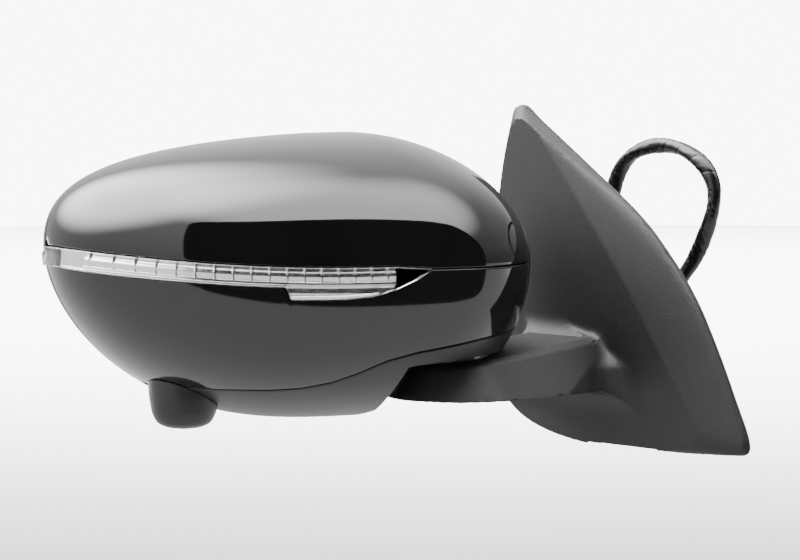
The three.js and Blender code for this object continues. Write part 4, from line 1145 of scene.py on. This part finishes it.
def studio_dome(nodes, links):
    """Light by height above the horizon, with broad patches that add to it or take from it."""
    place = nodes.new("ShaderNodeTexCoord")
    split = nodes.new("ShaderNodeSeparateXYZ")
    links.new(place.outputs["Generated"], split.inputs["Vector"])
    dome = nodes.new("ShaderNodeValToRGB")
    dome.color_ramp.interpolation = "EASE"
    for position, level in DOME_LEVELS:
        if 0 < position < 1:
            stop = dome.color_ramp.elements.new(position)
        else:
            stop = dome.color_ramp.elements[-int(position)]
        stop.color = (level, level, level, 1)
    links.new(split.outputs["Z"], dome.inputs["Fac"])
    total = dome.outputs["Color"]
    for direction, edge, level in PATCHES:
        toward = nodes.new("ShaderNodeVectorMath")
        toward.operation = "DOT_PRODUCT"
        toward.inputs[1].default_value = direction
        links.new(place.outputs["Generated"], toward.inputs[0])
        patch = nodes.new("ShaderNodeMapRange")
        patch.interpolation_type = "SMOOTHSTEP"
        set_inputs(patch, From_Min=edge[0], From_Max=edge[1], To_Min=0, To_Max=level)
        links.new(toward.outputs["Value"], patch.inputs["Value"])
        total = combined(nodes, links, "ADD", total, patch.outputs["Result"])
    return total


def make_world():
    """A plain bright backdrop, the dome for what gloss and glass show, and an even tent for the rest."""
    world = bpy.data.worlds.new("studio")
    bpy.context.scene.world = world
    world.use_nodes = True
    nodes, links = world.node_tree.nodes, world.node_tree.links
    ray = nodes.new("ShaderNodeLightPath")
    glossy, through_glass = ray.outputs["Is Glossy Ray"], ray.outputs["Is Transmission Ray"]
    shine = combined(nodes, links, "MAXIMUM", glossy, through_glass)
    lit = nodes.new("ShaderNodeMix")
    lit.inputs["A"].default_value = TENT_LEVEL
    links.new(shine, lit.inputs["Factor"])
    links.new(studio_dome(nodes, links), lit.inputs["B"])
    level = nodes.new("ShaderNodeMix")
    level.inputs["B"].default_value = BACKDROP_LEVEL
    links.new(ray.outputs["Is Camera Ray"], level.inputs["Factor"])
    links.new(lit.outputs["Result"], level.inputs["A"])
    links.new(level.outputs["Result"], nodes["Background"].inputs["Strength"])
    nodes["Background"].inputs["Color"].default_value = (1, 1, 1, 1)


def make_flag():
    """A black card that stands before the mirror and shows only as a reflection in its gloss."""
    away = np.array([math.sin(FLAG_AZIMUTH), -math.cos(FLAG_AZIMUTH), 0])
    across = np.array([math.cos(FLAG_AZIMUTH), math.sin(FLAG_AZIMUTH), 0])
    outline = rounded_profile(FLAG_OUTLINE, 170, 10, closed=True)
    middle = FLAG_MIDDLE + FLAG_DISTANCE * away
    points = middle + outline[:, :1] * across + outline[:, 1:] * np.array([0, 0, 1.0])
    flag = matt_sheet("black_flag", points, "flag_cloth", 4, 0.002, 0.004)
    flag.visible_camera = False
    flag.visible_diffuse = False
    flag.visible_shadow = False


def make_lights():
    make_world()
    make_flag()
    area_light("background", (2.7, 3.0, 2.6), (2.9, 3.2, -0.3), (6.0, 5.0), 900, 70)


make_cap()
make_lower_cover()
make_bottom_trim()
make_rear_housing()
make_pivot_cover()
make_pod()
make_strip()
make_sail()
make_gasket()
make_studs()
make_grommet()
make_glass()
keep_frame_nodes()
make_floor()
make_lights()
